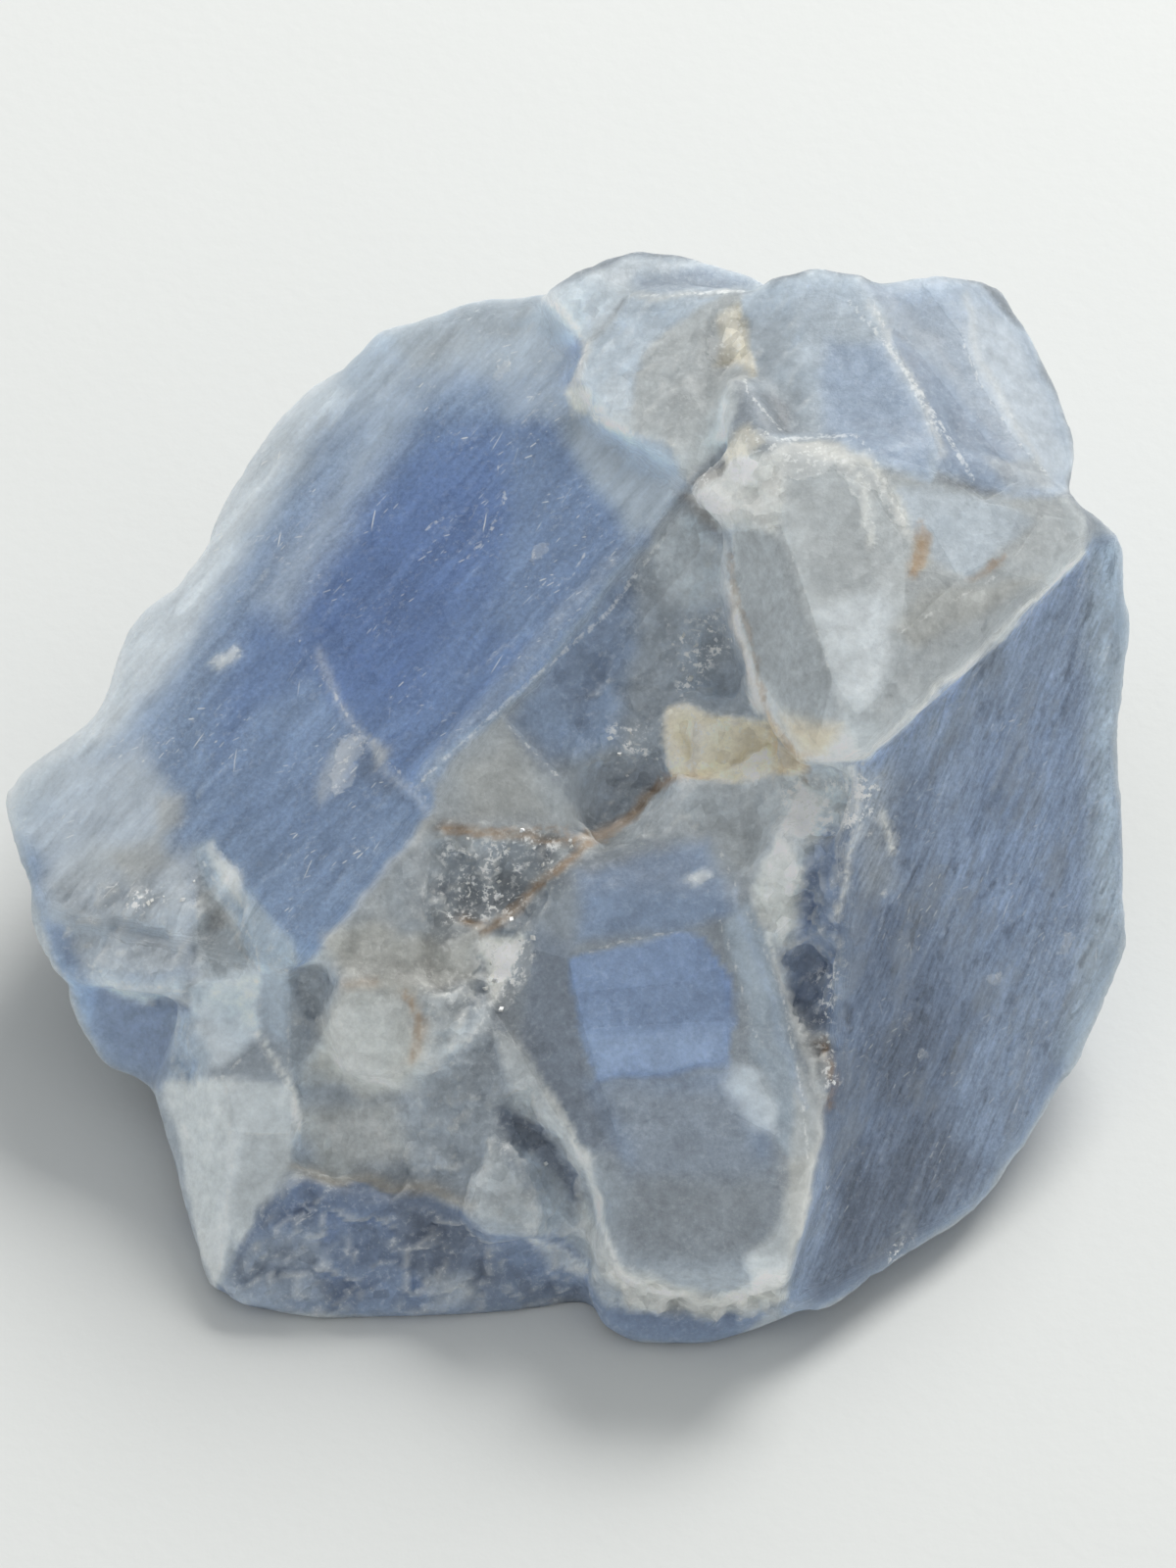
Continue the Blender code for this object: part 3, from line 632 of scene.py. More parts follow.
# %% Patches: the prism and the chip beside it
add_patches("the prism and the chip beside it", [
    ("veil", 8, 0.9, [
        (165, 1105), (236, 1098), (240, 1150), (236, 1260), (222, 1312), (205, 1280), (185, 1180),
    ]),
    ("veil", 8, 0.8, [
        (236, 1098), (300, 1108), (312, 1150), (290, 1200), (258, 1240), (240, 1300), (236, 1250),
        (240, 1150),
    ]),
    ("lilac", 14, 0.3, [(236, 1150), (246, 1150), (228, 1290), (218, 1290)]),
    ("haze", 10, 0.5, [(266, 992), (298, 988), (298, 1068), (268, 1045)]),
])

# %% [markdown]
# Left of the middle the blocks are small and grey, with clay between them. Patches of grey and beige with
# wide borders run into each other here, as colours do in cloudy stone.

# %% Patches: the lumps left of the middle
add_patches("the lumps left of the middle", [
    ("stone_grey", 10, 1.0, [
        (440, 835), (600, 850), (640, 845), (590, 880), (500, 950), (470, 1060), (430, 1110), (312, 1105),
        (320, 1050), (350, 1000), (312, 985), (335, 962),
    ]),
    ("smoke", 20, 0.5, [(400, 880), (440, 850), (470, 860), (450, 950), (400, 960)]),
    ("dark_smoke", 16, 0.65, [(455, 858), (560, 858), (555, 890), (520, 925), (470, 935), (448, 910)]),
    ("beige", 20, 0.7, [
        (330, 955), (380, 940), (450, 960), (490, 950), (480, 1000), (420, 1010), (350, 1000),
    ]),
    ("beige", 16, 0.55, [
        (350, 1005), (420, 995), (440, 1080), (410, 1110), (370, 1120), (325, 1090), (330, 1040),
    ]),
    ("veil", 16, 0.2, [(345, 1030), (405, 1020), (400, 1110), (360, 1110)]),
    ("veil", 18, 0.6, [(430, 1090), (500, 1020), (510, 1040), (450, 1110)]),
    ("frost", 14, 1.0, [(492, 955), (550, 955), (545, 1000), (515, 1035), (500, 1010)]),
    ("smoke", 14, 0.8, [
        (430, 1100), (505, 1040), (520, 1100), (560, 1180), (545, 1220), (500, 1170), (440, 1150),
    ]),
    ("smoke", 16, 0.5, [(300, 1140), (440, 1110), (500, 1170), (480, 1225), (310, 1200)]),
    ("beige", 24, 0.45, [(310, 1130), (400, 1120), (420, 1180), (330, 1200)]),
    ("stone_grey", 7, 0.9, [(500, 1160), (550, 1228), (548, 1250), (492, 1240), (478, 1205)]),
    ("umber", 14, 0.35, [(300, 1185), (360, 1195), (480, 1215), (480, 1225), (330, 1208)]),
    ("dark_smoke", 7, 0.25, [(294, 986), (330, 982), (354, 996), (330, 1050), (311, 1100), (295, 1085)]),
])

# %% [markdown]
# The foot lies in the stone's own shade and is its darkest part. The ledge sticks out at the very front.

# %% Patches: the dark foot and the front ledge
add_patches("the dark foot and the front ledge", [
    ("slate", 8, 1.0, [
        (222, 1320), (258, 1245), (300, 1200), (400, 1212), (470, 1232), (500, 1255), (570, 1260),
        (604, 1290), (604, 1345), (400, 1345), (235, 1335),
    ]),
    ("night", 24, 0.8, [
        (400, 1222), (470, 1240), (500, 1262), (520, 1300), (600, 1318), (600, 1335), (480, 1335),
        (410, 1290),
    ]),
    ("smoke", 26, 0.5, [(225, 1300), (262, 1262), (330, 1250), (330, 1330), (240, 1335)]),
    ("stone_grey", 16, 0.45, [(430, 1300), (480, 1300), (490, 1335), (440, 1335)]),
    ("veil", 12, 0.5, [(540, 1262), (600, 1290), (602, 1305), (560, 1290)]),
    ("slate", 8, 1.0, [
        (596, 1300), (620, 1335), (760, 1342), (790, 1330), (740, 1372), (620, 1368), (598, 1340),
    ]),
])

# %% [markdown]
# The block at the front has a bright blue window, where light that came in from above leaves the stone. A
# see-through block could show this too, but only for one lamp and with a lot of noise, so the window is a
# patch with a hard border in a block of smoke.

# %% Patches: the window block
add_patches("the window block", [
    ("smoke", 8, 1.0, [
        (578, 898), (640, 866), (728, 846), (765, 905), (840, 1130), (832, 1200), (800, 1302),
        (740, 1320), (640, 1300), (612, 1270), (535, 1110), (502, 1035), (545, 940),
    ]),
    ("worn_blue", 22, 0.75, [(590, 890), (720, 858), (750, 930), (700, 945), (590, 960)]),
    ("slate", 18, 0.4, [(548, 945), (582, 960), (600, 1080), (640, 1180), (590, 1170), (530, 1080)]),
    ("worn_blue", 26, 0.5, [(600, 1100), (745, 1085), (790, 1160), (780, 1200), (640, 1200)]),
    ("smoke", 30, 0.7, [(640, 1190), (790, 1190), (770, 1290), (650, 1290)]),
    ("blue", 7, 0.92, [
        (581, 978), (640, 964), (690, 946), (718, 958), (742, 1000), (750, 1045), (742, 1082),
        (650, 1100), (612, 1102), (592, 1050),
    ]),
    ("haze", 12, 0.25, [
        (581, 978), (690, 946), (718, 958), (750, 1045), (742, 1082), (612, 1102), (592, 1050),
    ]),
    ("stone_grey", 26, 0.35, [(620, 1110), (750, 1110), (770, 1190), (650, 1190)]),
    ("sky_blue", 12, 0.30, [(594, 1055), (740, 1050), (740, 1080), (650, 1096), (610, 1096)]),
    ("haze", 12, 0.75, [(738, 945), (768, 915), (812, 1080), (808, 1180), (795, 1160), (760, 1030)]),
    ("pale", 16, 0.75, [(738, 1100), (752, 1082), (770, 1085), (792, 1128), (790, 1155), (765, 1150)]),
    ("veil", 10, 0.85, [
        (812, 1080), (836, 1130), (830, 1190), (815, 1255), (798, 1300), (770, 1312), (760, 1285),
        (795, 1245), (805, 1190),
    ]),
    ("beige", 14, 0.5, [(800, 1180), (830, 1170), (822, 1250), (803, 1290)]),
    ("beige", 14, 0.65, [
        (622, 1290), (660, 1300), (740, 1320), (800, 1296), (790, 1325), (740, 1340), (640, 1335),
    ]),
    ("lilac", 8, 0.8, [(698, 895), (722, 884), (728, 890), (715, 903)]),
    ("stone_grey", 7, 1.0, [
        (503, 1048), (532, 1060), (562, 1110), (602, 1180), (592, 1192), (560, 1150), (525, 1132),
    ]),
    ("night", 7, 0.8, [(505, 1128), (545, 1142), (600, 1215), (592, 1232), (560, 1192), (520, 1162)]),
    ("beige", 14, 0.5, [(590, 1200), (615, 1260), (645, 1310), (620, 1310), (590, 1260)]),
])

# %% [markdown]
# Between the two large faces the stone drops into a dim hollow of smoke and slate, with a lighter veil at
# its upper end.

# %% Patches: the hollow
add_patches("the hollow", [
    ("smoke", 10, 1.0, [
        (700, 495), (745, 540), (762, 640), (775, 720), (690, 725), (680, 795), (600, 850), (545, 790),
        (510, 730), (650, 560),
    ]),
    ("worn_blue", 30, 0.75, [(560, 660), (640, 580), (650, 640), (630, 760), (560, 780), (525, 740)]),
    ("slate", 26, 0.45, [(560, 690), (640, 600), (640, 690), (590, 760)]),
    ("veil", 22, 0.5, [(660, 550), (700, 520), (745, 560), (750, 610), (680, 620)]),
    ("dark_smoke", 26, 0.25, [(640, 640), (690, 610), (750, 650), (765, 715), (700, 725), (640, 740)]),
    ("night", 18, 0.2, [(600, 790), (680, 765), (680, 800), (650, 835), (600, 845)]),
    ("umber", 10, 0.5, [(690, 500), (720, 508), (745, 540), (715, 535)]),
    ("stone_grey", 10, 0.95, [(440, 792), (512, 730), (545, 785), (600, 842), (560, 850), (440, 836)]),
    ("beige", 24, 0.35, [(470, 790), (520, 760), (560, 830), (480, 835)]),
])

# %% [markdown]
# A chalky cream patch with a tan stain beside it sits at the lower end of the hollow, above a grey
# saddle.

# %% Patches: the chalk patch and the saddle
add_patches("the chalk patch and the saddle", [
    ("cream", 8, 1.0, [(680, 727), (700, 717), (730, 730), (782, 738), (786, 790), (740, 796), (682, 792)]),
    ("frost", 12, 0.15, [(690, 742), (770, 742), (775, 775), (700, 770)]),
    ("tan", 8, 0.9, [(782, 725), (800, 740), (822, 775), (820, 795), (788, 792)]),
    ("umber", 12, 0.35, [(790, 745), (810, 775), (800, 795), (788, 780)]),
    ("veil", 16, 0.4, [
        (690, 796), (790, 796), (850, 780), (850, 840), (790, 850), (765, 900), (728, 850), (650, 825),
    ]),
    ("stone_grey", 16, 0.7, [
        (690, 796), (790, 796), (850, 780), (850, 840), (790, 850), (765, 900), (728, 850), (640, 860),
        (600, 870), (650, 825),
    ]),
])

# %% [markdown]
# A steep groove runs down beside the right face. Bruised white chips stand before its dark pockets, so
# light and dark patches lie close together.

# %% Patches: the groove
add_patches("the groove", [
    ("stone_grey", 12, 0.9, [
        (790, 800), (870, 780), (865, 900), (850, 1000), (850, 1120), (838, 1125), (800, 1010),
        (770, 930), (790, 850),
    ]),
    ("milk", 9, 0.65, [(790, 852), (806, 862), (815, 910), (800, 962), (776, 935), (768, 905)]),
    ("frost", 12, 0.5, [(812, 800), (838, 815), (826, 850), (800, 850)]),
    ("slate", 14, 0.9, [(818, 880), (840, 850), (868, 838), (862, 960), (812, 968)]),
    ("slate", 16, 0.9, [(796, 972), (850, 958), (856, 1050), (828, 1050), (806, 1015)]),
    ("night", 22, 0.5, [(800, 970), (850, 965), (850, 1045), (828, 1045), (806, 1005)]),
    ("umber", 12, 0.45, [(822, 1050), (850, 1060), (848, 1115), (832, 1095)]),
])

# %% [markdown]
# The right face is the second large split. It is duller than the left one and darkens towards the foot,
# and a haze lies along its outer rim.

# %% Patches: the right face
add_patches("the right face", [
    ("dusk_blue", 8, 1.0, [
        (1140, 540), (1150, 620), (1138, 760), (1148, 870), (1146, 960), (1100, 1080), (1000, 1230),
        (900, 1300), (830, 1340), (798, 1338), (808, 1300), (842, 1130), (852, 1000), (862, 900),
        (868, 778), (960, 700), (1100, 560),
    ]),
    ("blue", 60, 0.20, [(1000, 740), (1090, 700), (1100, 900), (1020, 1000), (960, 900)]),
    ("slate", 50, 0.8, [(868, 900), (960, 940), (1000, 1040), (960, 1180), (850, 1290), (845, 1100)]),
    ("slate", 40, 0.4, [(870, 790), (950, 780), (960, 940), (870, 960)]),
    ("night", 24, 0.5, [(890, 1040), (960, 1030), (950, 1100), (920, 1140), (890, 1120)]),
    ("night", 26, 0.4, [(850, 1180), (960, 1120), (980, 1200), (860, 1300)]),
    ("night", 30, 0.6, [
        (815, 1345), (850, 1240), (900, 1190), (960, 1150), (1010, 1190), (960, 1260), (890, 1320),
    ]),
    ("stone_grey", 30, 0.5, [(868, 790), (910, 780), (910, 900), (880, 920)]),
    ("haze", 30, 0.85, [
        (1110, 560), (1150, 540), (1160, 700), (1140, 760), (1152, 960), (1100, 1090), (1080, 1080),
        (1110, 960), (1115, 800), (1110, 680),
    ]),
    ("haze", 24, 0.10, [(1100, 1060), (1130, 1060), (1010, 1240), (900, 1310), (890, 1300), (1000, 1200)]),
])

# %% [markdown]
# The crown is milky, with straight borders between facets that differ a little in tone. Rust has crept in
# at a few places, as soft-edged wisps.

# %% Patches: the white crown
add_patches("the white crown", [
    ("veil", 8, 1.0, [
        (705, 505), (740, 480), (800, 455), (852, 446), (882, 450), (900, 480), (1000, 510), (1085, 505),
        (1108, 530), (1105, 572), (1010, 655), (955, 705), (880, 773), (830, 775), (808, 772), (765, 690),
        (745, 600), (748, 545),
    ]),
    ("stone_grey", 8, 0.95, [
        (750, 545), (790, 545), (806, 575), (856, 726), (838, 748), (770, 690), (750, 610),
    ]),
    ("tan", 26, 0.8, [(800, 730), (850, 740), (840, 772), (812, 772)]),
    ("veil", 8, 0.5, [
        (792, 490), (850, 476), (880, 500), (905, 600), (905, 700), (880, 728), (845, 700), (800, 560),
    ]),
    ("lilac", 26, 0.6, [(835, 620), (905, 600), (905, 705), (880, 728), (850, 705)]),
    ("frost", 16, 0.6, [(705, 507), (745, 480), (800, 458), (800, 500), (790, 545), (745, 535)]),
    ("frost", 10, 0.65, [(800, 456), (855, 446), (880, 452), (900, 492), (875, 475), (830, 470)]),
    ("pale_blue", 10, 0.7, [
        (905, 500), (950, 498), (1010, 515), (1052, 532), (985, 592), (950, 570), (925, 540),
    ]),
    ("stone_grey", 14, 0.4, [(885, 470), (950, 470), (1000, 510), (900, 500)]),
    ("stone_grey", 16, 0.3, [(1055, 520), (1095, 515), (1105, 560), (1060, 600), (1000, 600), (990, 590)]),
    ("stone_grey", 10, 0.7, [
        (905, 645), (960, 622), (1060, 600), (1105, 565), (1000, 668), (880, 770), (850, 730), (890, 725),
    ]),
    ("beige", 16, 0.5, [(905, 645), (940, 605), (1060, 590), (1010, 625), (930, 660)]),
    ("tan", 10, 0.5, [(935, 545), (950, 550), (945, 575), (930, 592), (925, 575)]),
    ("rust", 16, 0.55, [(936, 538), (946, 550), (938, 572), (930, 592), (924, 580), (934, 560)]),
    ("stone_grey", 16, 0.35, [(810, 500), (875, 500), (895, 600), (830, 610)]),
])

# %% [markdown]
# Behind the crown are two lobes of almost clear stone. They are thin, so they are pale, partly from
# painted light that comes through them, with blue bands where they thicken.

# %% Patches: the lobes along the top
add_patches("the lobes along the top", [
    ("pale_blue", 8, 1.0, [
        (762, 300), (835, 276), (880, 282), (905, 310), (960, 470), (950, 500), (880, 468), (850, 446),
        (800, 455), (770, 445), (750, 400),
    ]),
    ("stone_grey", 24, 0.35, [(765, 330), (800, 320), (830, 440), (780, 445), (760, 390)]),
    ("sky_blue", 18, 0.75, [(840, 350), (900, 350), (950, 450), (945, 490), (880, 462), (838, 440)]),
    ("pale", 8, 1.0, [
        (880, 290), (950, 278), (1000, 288), (1050, 340), (1085, 420), (1094, 470), (1083, 502),
        (1030, 512), (960, 485), (960, 460), (905, 320),
    ]),
    ("sky_blue", 14, 0.7, [
        (900, 330), (930, 350), (1010, 440), (1060, 505), (1000, 505), (962, 480), (955, 440),
    ]),
    ("sky_blue", 10, 0.5, [
        (880, 290), (950, 278), (1000, 288), (1050, 340), (1085, 420), (1094, 470), (1083, 502),
        (1030, 512), (960, 485), (905, 320),
    ]),
    ("lilac", 20, 0.4, [
        (985, 300), (1030, 330), (1070, 410), (1090, 470), (1070, 490), (1040, 450), (1000, 390),
    ]),
    ("veil", 10, 0.6, [(1000, 470), (1060, 470), (1075, 495), (1030, 508)]),
])

# %% [markdown]
# The last patches are the thin blocks at the back of the top: a ledge, a bright corner, and a clear layer
# with a cream crust along its edge.

# %% Patches: the back ledge, the pale corner and the upper layer
add_patches("the back ledge, the pale corner and the upper layer", [
    ("pale_blue", 8, 1.0, [(590, 280), (650, 255), (740, 265), (795, 290), (760, 300), (620, 305)]),
    ("pale", 8, 0.5, [(660, 278), (740, 270), (780, 290), (700, 298), (660, 296)]),
    ("lilac", 10, 0.7, [(600, 272), (650, 256), (720, 266), (660, 275), (640, 290), (600, 285)]),
    ("worn_blue", 10, 0.35, [(655, 283), (720, 270), (780, 286), (700, 297), (658, 297)]),
    ("pale", 7, 1.0, [(553, 298), (600, 275), (650, 292), (640, 305), (602, 348)]),
    ("veil", 8, 1.0, [
        (590, 380), (600, 348), (650, 300), (762, 300), (765, 380), (745, 440), (700, 490), (680, 450),
        (590, 425),
    ]),
    ("pale_blue", 8, 0.9, [
        (588, 385), (602, 350), (650, 302), (740, 302), (690, 330), (655, 360), (640, 420), (606, 425),
    ]),
    ("pale", 10, 0.6, [(605, 395), (640, 380), (645, 430), (610, 428)]),
    ("veil", 10, 0.6, [(735, 360), (752, 400), (742, 450), (700, 490), (688, 470), (700, 400)]),
    ("milk", 5, 1.0, [(575, 398), (588, 392), (600, 400), (598, 425), (582, 420)]),
    ("cream", 8, 0.6, [(732, 325), (758, 312), (764, 345), (770, 385), (752, 372), (728, 372), (735, 345)]),
    ("cream", 8, 0.5, [(738, 470), (748, 445), (762, 437), (780, 448), (762, 470), (745, 478)]),
    ("umber", 8, 0.6, [(700, 492), (742, 472), (745, 480), (715, 502)]),
    ("smoke", 8, 0.75, [(748, 385), (772, 400), (805, 420), (800, 446), (770, 445), (750, 420)]),
])
print("patches:", len(patches))

# %% [markdown]
# Cracks, stains and bruised ridges are lines. Iron and clay colour the cracks, and rubbing frosts the
# ridges. A row holds a colour, half the line's width, the softness of its border, a strength, and the
# line's corners.

# %% Lines
LINES = [
    ("rust", 4, 8, 0.5, [(450, 842), (500, 852), (580, 858), (625, 845), (655, 822), (685, 792), (720, 788)]),
    ("rust", 4, 9, 0.5, [(600, 858), (575, 885), (545, 905), (515, 935), (495, 950), (472, 935)]),
    ("rust", 4, 12, 0.35, [(414, 1012), (430, 1040), (424, 1078)]),
    ("rust", 4, 12, 0.3, [(352, 1005), (385, 1003)]),
    ("rust", 3, 8, 0.35, [(745, 610), (765, 690), (782, 725), (810, 772), (832, 772)]),
    ("rust", 3, 8, 0.35, [(985, 592), (1018, 575)]),
    ("tan", 4, 12, 0.3, [(300, 1190), (340, 1200), (420, 1208), (485, 1230)]),
    ("rust", 3, 8, 0.30, [(838, 1060), (850, 1105), (845, 1130)]),
    ("umber", 3, 6, 0.55, [(455, 838), (500, 848), (565, 853)]),
    ("umber", 3, 6, 0.50, [(600, 850), (655, 822), (690, 790)]),
    ("frost", 3, 6, 0.55, [(262, 1055), (300, 1108), (312, 1150)]),
    ("frost", 3, 8, 0.3, [(320, 665), (362, 740), (400, 790), (440, 832)]),
    ("dusk_blue", 10, 14, 0.75, [(655, 545), (590, 612), (485, 735), (428, 800)]),
    ("haze", 3, 8, 0.5, [(650, 560), (560, 672), (510, 728), (432, 795)]),
    ("frost", 3, 8, 0.35, [(440, 838), (390, 890), (335, 962)]),
    ("frost", 3, 6, 0.6, [(850, 460), (875, 495), (890, 560)]),
    ("frost", 4, 8, 0.7, [(880, 465), (900, 505), (925, 545)]),
    ("frost", 3, 6, 0.45, [(885, 310), (905, 345), (935, 400), (962, 468)]),
    ("frost", 3, 7, 0.35, [(985, 300), (1000, 370), (1060, 470)]),
    ("frost", 3, 6, 0.5, [(560, 300), (600, 350), (588, 380), (577, 400)]),
    ("frost", 3, 6, 0.4, [(606, 428), (640, 438), (688, 455)]),
    ("frost", 4, 8, 0.5, [(745, 600), (765, 680), (775, 725)]),
    ("frost", 3, 6, 0.5, [(955, 705), (1000, 665), (1105, 565)]),
    ("frost", 3, 6, 0.5, [(825, 775), (880, 773), (955, 705)]),
    ("frost", 3, 8, 0.5, [(868, 785), (874, 850), (852, 930)]),
    ("frost", 4, 6, 0.5, [(900, 832), (908, 868)]),
    ("frost", 3, 8, 0.45, [(765, 905), (800, 1010), (838, 1128), (815, 1255)]),
    ("frost", 3, 6, 0.45, [(560, 1112), (600, 1180), (620, 1262), (640, 1310)]),
    ("frost", 3, 8, 0.5, [(625, 1300), (690, 1318), (745, 1328), (800, 1318)]),
    ("sky_blue", 3, 8, 0.4, [(745, 905), (780, 1010), (822, 1130)]),
    ("frost", 3, 8, 0.35, [(540, 1265), (575, 1275), (600, 1295)]),
    ("frost", 2, 6, 0.4, [(650, 300), (700, 300), (760, 296)]),
]
print("lines:", len(LINES))

# %% [markdown]
# ## Crisp edges
#
# The corners of the skin are a quarter of a millimetre apart, too far for a sharp border or a hairline.
# How far a place is from a border changes evenly though, so that distance can be kept at the corners and
# be cut off sharply in the material. Five things are kept this way: painted light on facets that are lit
# more brightly than the stone round them, painted shade on facets in shade, frosted skin, white lines
# that are partly cracks and partly painted edge highlights, and cracks with rust in them. Glints are
# painted too: white specks that stand in for light flashing off tiny facets. Their borders may be soft,
# so they are kept as a share and not as a distance.

# %% Facets lit more brightly: painted light
LIT_FACETS = [
    [
        (795, 492), (853, 483), (888, 504), (917, 550), (923, 585), (911, 689), (888, 718), (871, 730),
        (847, 695), (813, 585), (795, 538),
    ],
    [(830, 631), (865, 608), (920, 637), (911, 689), (888, 718), (871, 730), (847, 695)],
    [
        (911, 469), (958, 486), (1004, 515), (1039, 521), (1021, 567), (975, 591), (946, 538), (923, 533),
        (903, 492),
    ],
    [(1062, 527), (1097, 533), (1103, 567), (1075, 600), (1021, 585), (1040, 560)],
    [
        (934, 280), (981, 289), (1021, 312), (1050, 353), (1074, 411), (1091, 475), (1079, 498),
        (1068, 486), (1033, 446), (998, 388), (981, 341), (950, 300),
    ],
    [(557, 312), (604, 275), (644, 295), (639, 324), (592, 347)],
    [(596, 352), (648, 318), (700, 314), (656, 353), (639, 417), (606, 422), (594, 388)],
    [(200, 868), (218, 858), (262, 920), (300, 955), (302, 985), (268, 995), (205, 892)],
    [(228, 1096), (266, 1066), (302, 1122), (297, 1156), (243, 1156), (234, 1110)],
    [(494, 1182), (516, 1187), (550, 1226), (550, 1252), (494, 1250), (488, 1232), (479, 1200)],
    [(760, 891), (788, 854), (820, 799), (834, 808), (820, 854), (816, 900), (788, 942)],
    [(730, 1095), (745, 1080), (765, 1085), (790, 1130), (795, 1160), (780, 1150), (740, 1130)],
    [
        (751, 1277), (785, 1266), (802, 1232), (824, 1182), (827, 1198), (818, 1243), (796, 1305),
        (774, 1322), (762, 1299),
    ],
    [
        (502, 1047), (522, 1058), (544, 1086), (561, 1126), (578, 1148), (597, 1182), (589, 1182),
        (561, 1154), (533, 1137), (510, 1092),
    ],
    [(581, 978), (640, 960), (700, 948), (712, 965), (706, 1000), (586, 1012)],
    [(596, 1048), (740, 1040), (742, 1078), (652, 1098), (614, 1098)],
]
print("pale facets:", len(LIT_FACETS))

# %% Facets in shade: painted shade
SHADED_FACETS = [
    [
        (748, 544), (795, 538), (813, 585), (847, 695), (830, 759), (795, 724), (772, 689), (763, 643),
        (746, 608),
    ],
    [(920, 585), (940, 585), (975, 592), (923, 643)],
    [(905, 330), (930, 350), (998, 440), (1040, 490), (1004, 512), (962, 480), (946, 434)],
    [(609, 790), (622, 767), (659, 772), (678, 762), (678, 790), (650, 831), (618, 841), (599, 831)],
    [(199, 904), (224, 921), (260, 966), (246, 999), (224, 999), (202, 960)],
    [(296, 988), (330, 982), (356, 1010), (316, 1076), (298, 1092)],
    [(719, 634), (756, 664), (766, 728), (737, 730), (708, 700)],
    [(544, 969), (580, 977), (600, 1064), (628, 1154), (594, 1176), (561, 1126), (522, 1058), (505, 1030)],
    [(522, 1142), (550, 1154), (572, 1187), (594, 1232), (589, 1254), (566, 1232), (544, 1187)],
    [(515, 731), (650, 562), (700, 500), (716, 560), (650, 640), (600, 720), (576, 795)],
]
print("dark facets:", len(SHADED_FACETS))

# %% Frosted skin
FROSTED = [
    [
        (708, 492), (743, 472), (795, 451), (842, 457), (853, 475), (830, 492), (795, 489), (789, 509),
        (798, 538), (755, 544), (731, 521), (714, 515),
    ],
    [
        (847, 475), (865, 469), (888, 480), (911, 515), (923, 538), (911, 538), (895, 510), (882, 500),
        (888, 533), (895, 562), (886, 560), (874, 520), (860, 492),
    ],
    [
        (675, 735), (682, 719), (701, 712), (714, 721), (724, 732), (751, 737), (774, 735), (783, 744),
        (781, 776), (774, 790), (742, 799), (705, 795), (682, 790),
    ],
    [(731, 318), (755, 312), (757, 353), (743, 376), (720, 364)],
    [(740, 440), (772, 440), (795, 449), (737, 478), (743, 457)],
    [(575, 393), (592, 382), (598, 422), (583, 428)],
    [(344, 756), (360, 750), (372, 756), (360, 799), (341, 818), (338, 799)],
    [(539, 567), (549, 554), (561, 556), (552, 570), (544, 575)],
    [(496, 386), (518, 362), (522, 371), (500, 392)],
    [(698, 895), (722, 884), (728, 890), (715, 903)],
    [(495, 960), (520, 965), (548, 955), (540, 1000), (515, 1035), (500, 1010)],
    [(215, 862), (245, 890), (250, 925), (228, 905)],
    [(625, 1292), (700, 1316), (760, 1325), (745, 1338), (640, 1330)],
    [(812, 800), (838, 815), (826, 850), (800, 850)],
    [(212, 675), (240, 655), (244, 668), (222, 682)],
    [(1080, 973), (1088, 950), (1096, 956), (1090, 976)],
    [(1008, 1001), (1017, 988), (1024, 996), (1016, 1006)],
    [(934, 1083), (939, 1070), (945, 1078)],
    [(905, 868), (909, 832), (916, 846), (914, 870)],
    [(898, 912), (904, 904), (903, 916)],
]
print("frosted patches:", len(FROSTED))

# %% Painted glints: white specks that stand in for light flashing off tiny facets
PAINTED_GLINTS = [
    [(680, 632), (740, 626), (745, 660), (700, 715), (686, 705)],
    [(622, 744), (670, 738), (674, 778), (632, 786)],
    [(128, 905), (168, 905), (166, 936), (130, 934)],
    [(495, 960), (548, 955), (540, 1000), (505, 1020)],
    [(450, 862), (560, 850), (570, 880), (520, 930), (450, 940)],
    [(832, 990), (851, 990), (850, 1055), (838, 1050)],
    [(830, 1060), (850, 1060), (852, 1110), (838, 1110)],
    [(905, 1270), (930, 1262), (938, 1284), (912, 1292)],
    [(790, 800), (900, 790), (890, 850), (800, 850)],
]
print("bruises with glints:", len(PAINTED_GLINTS))
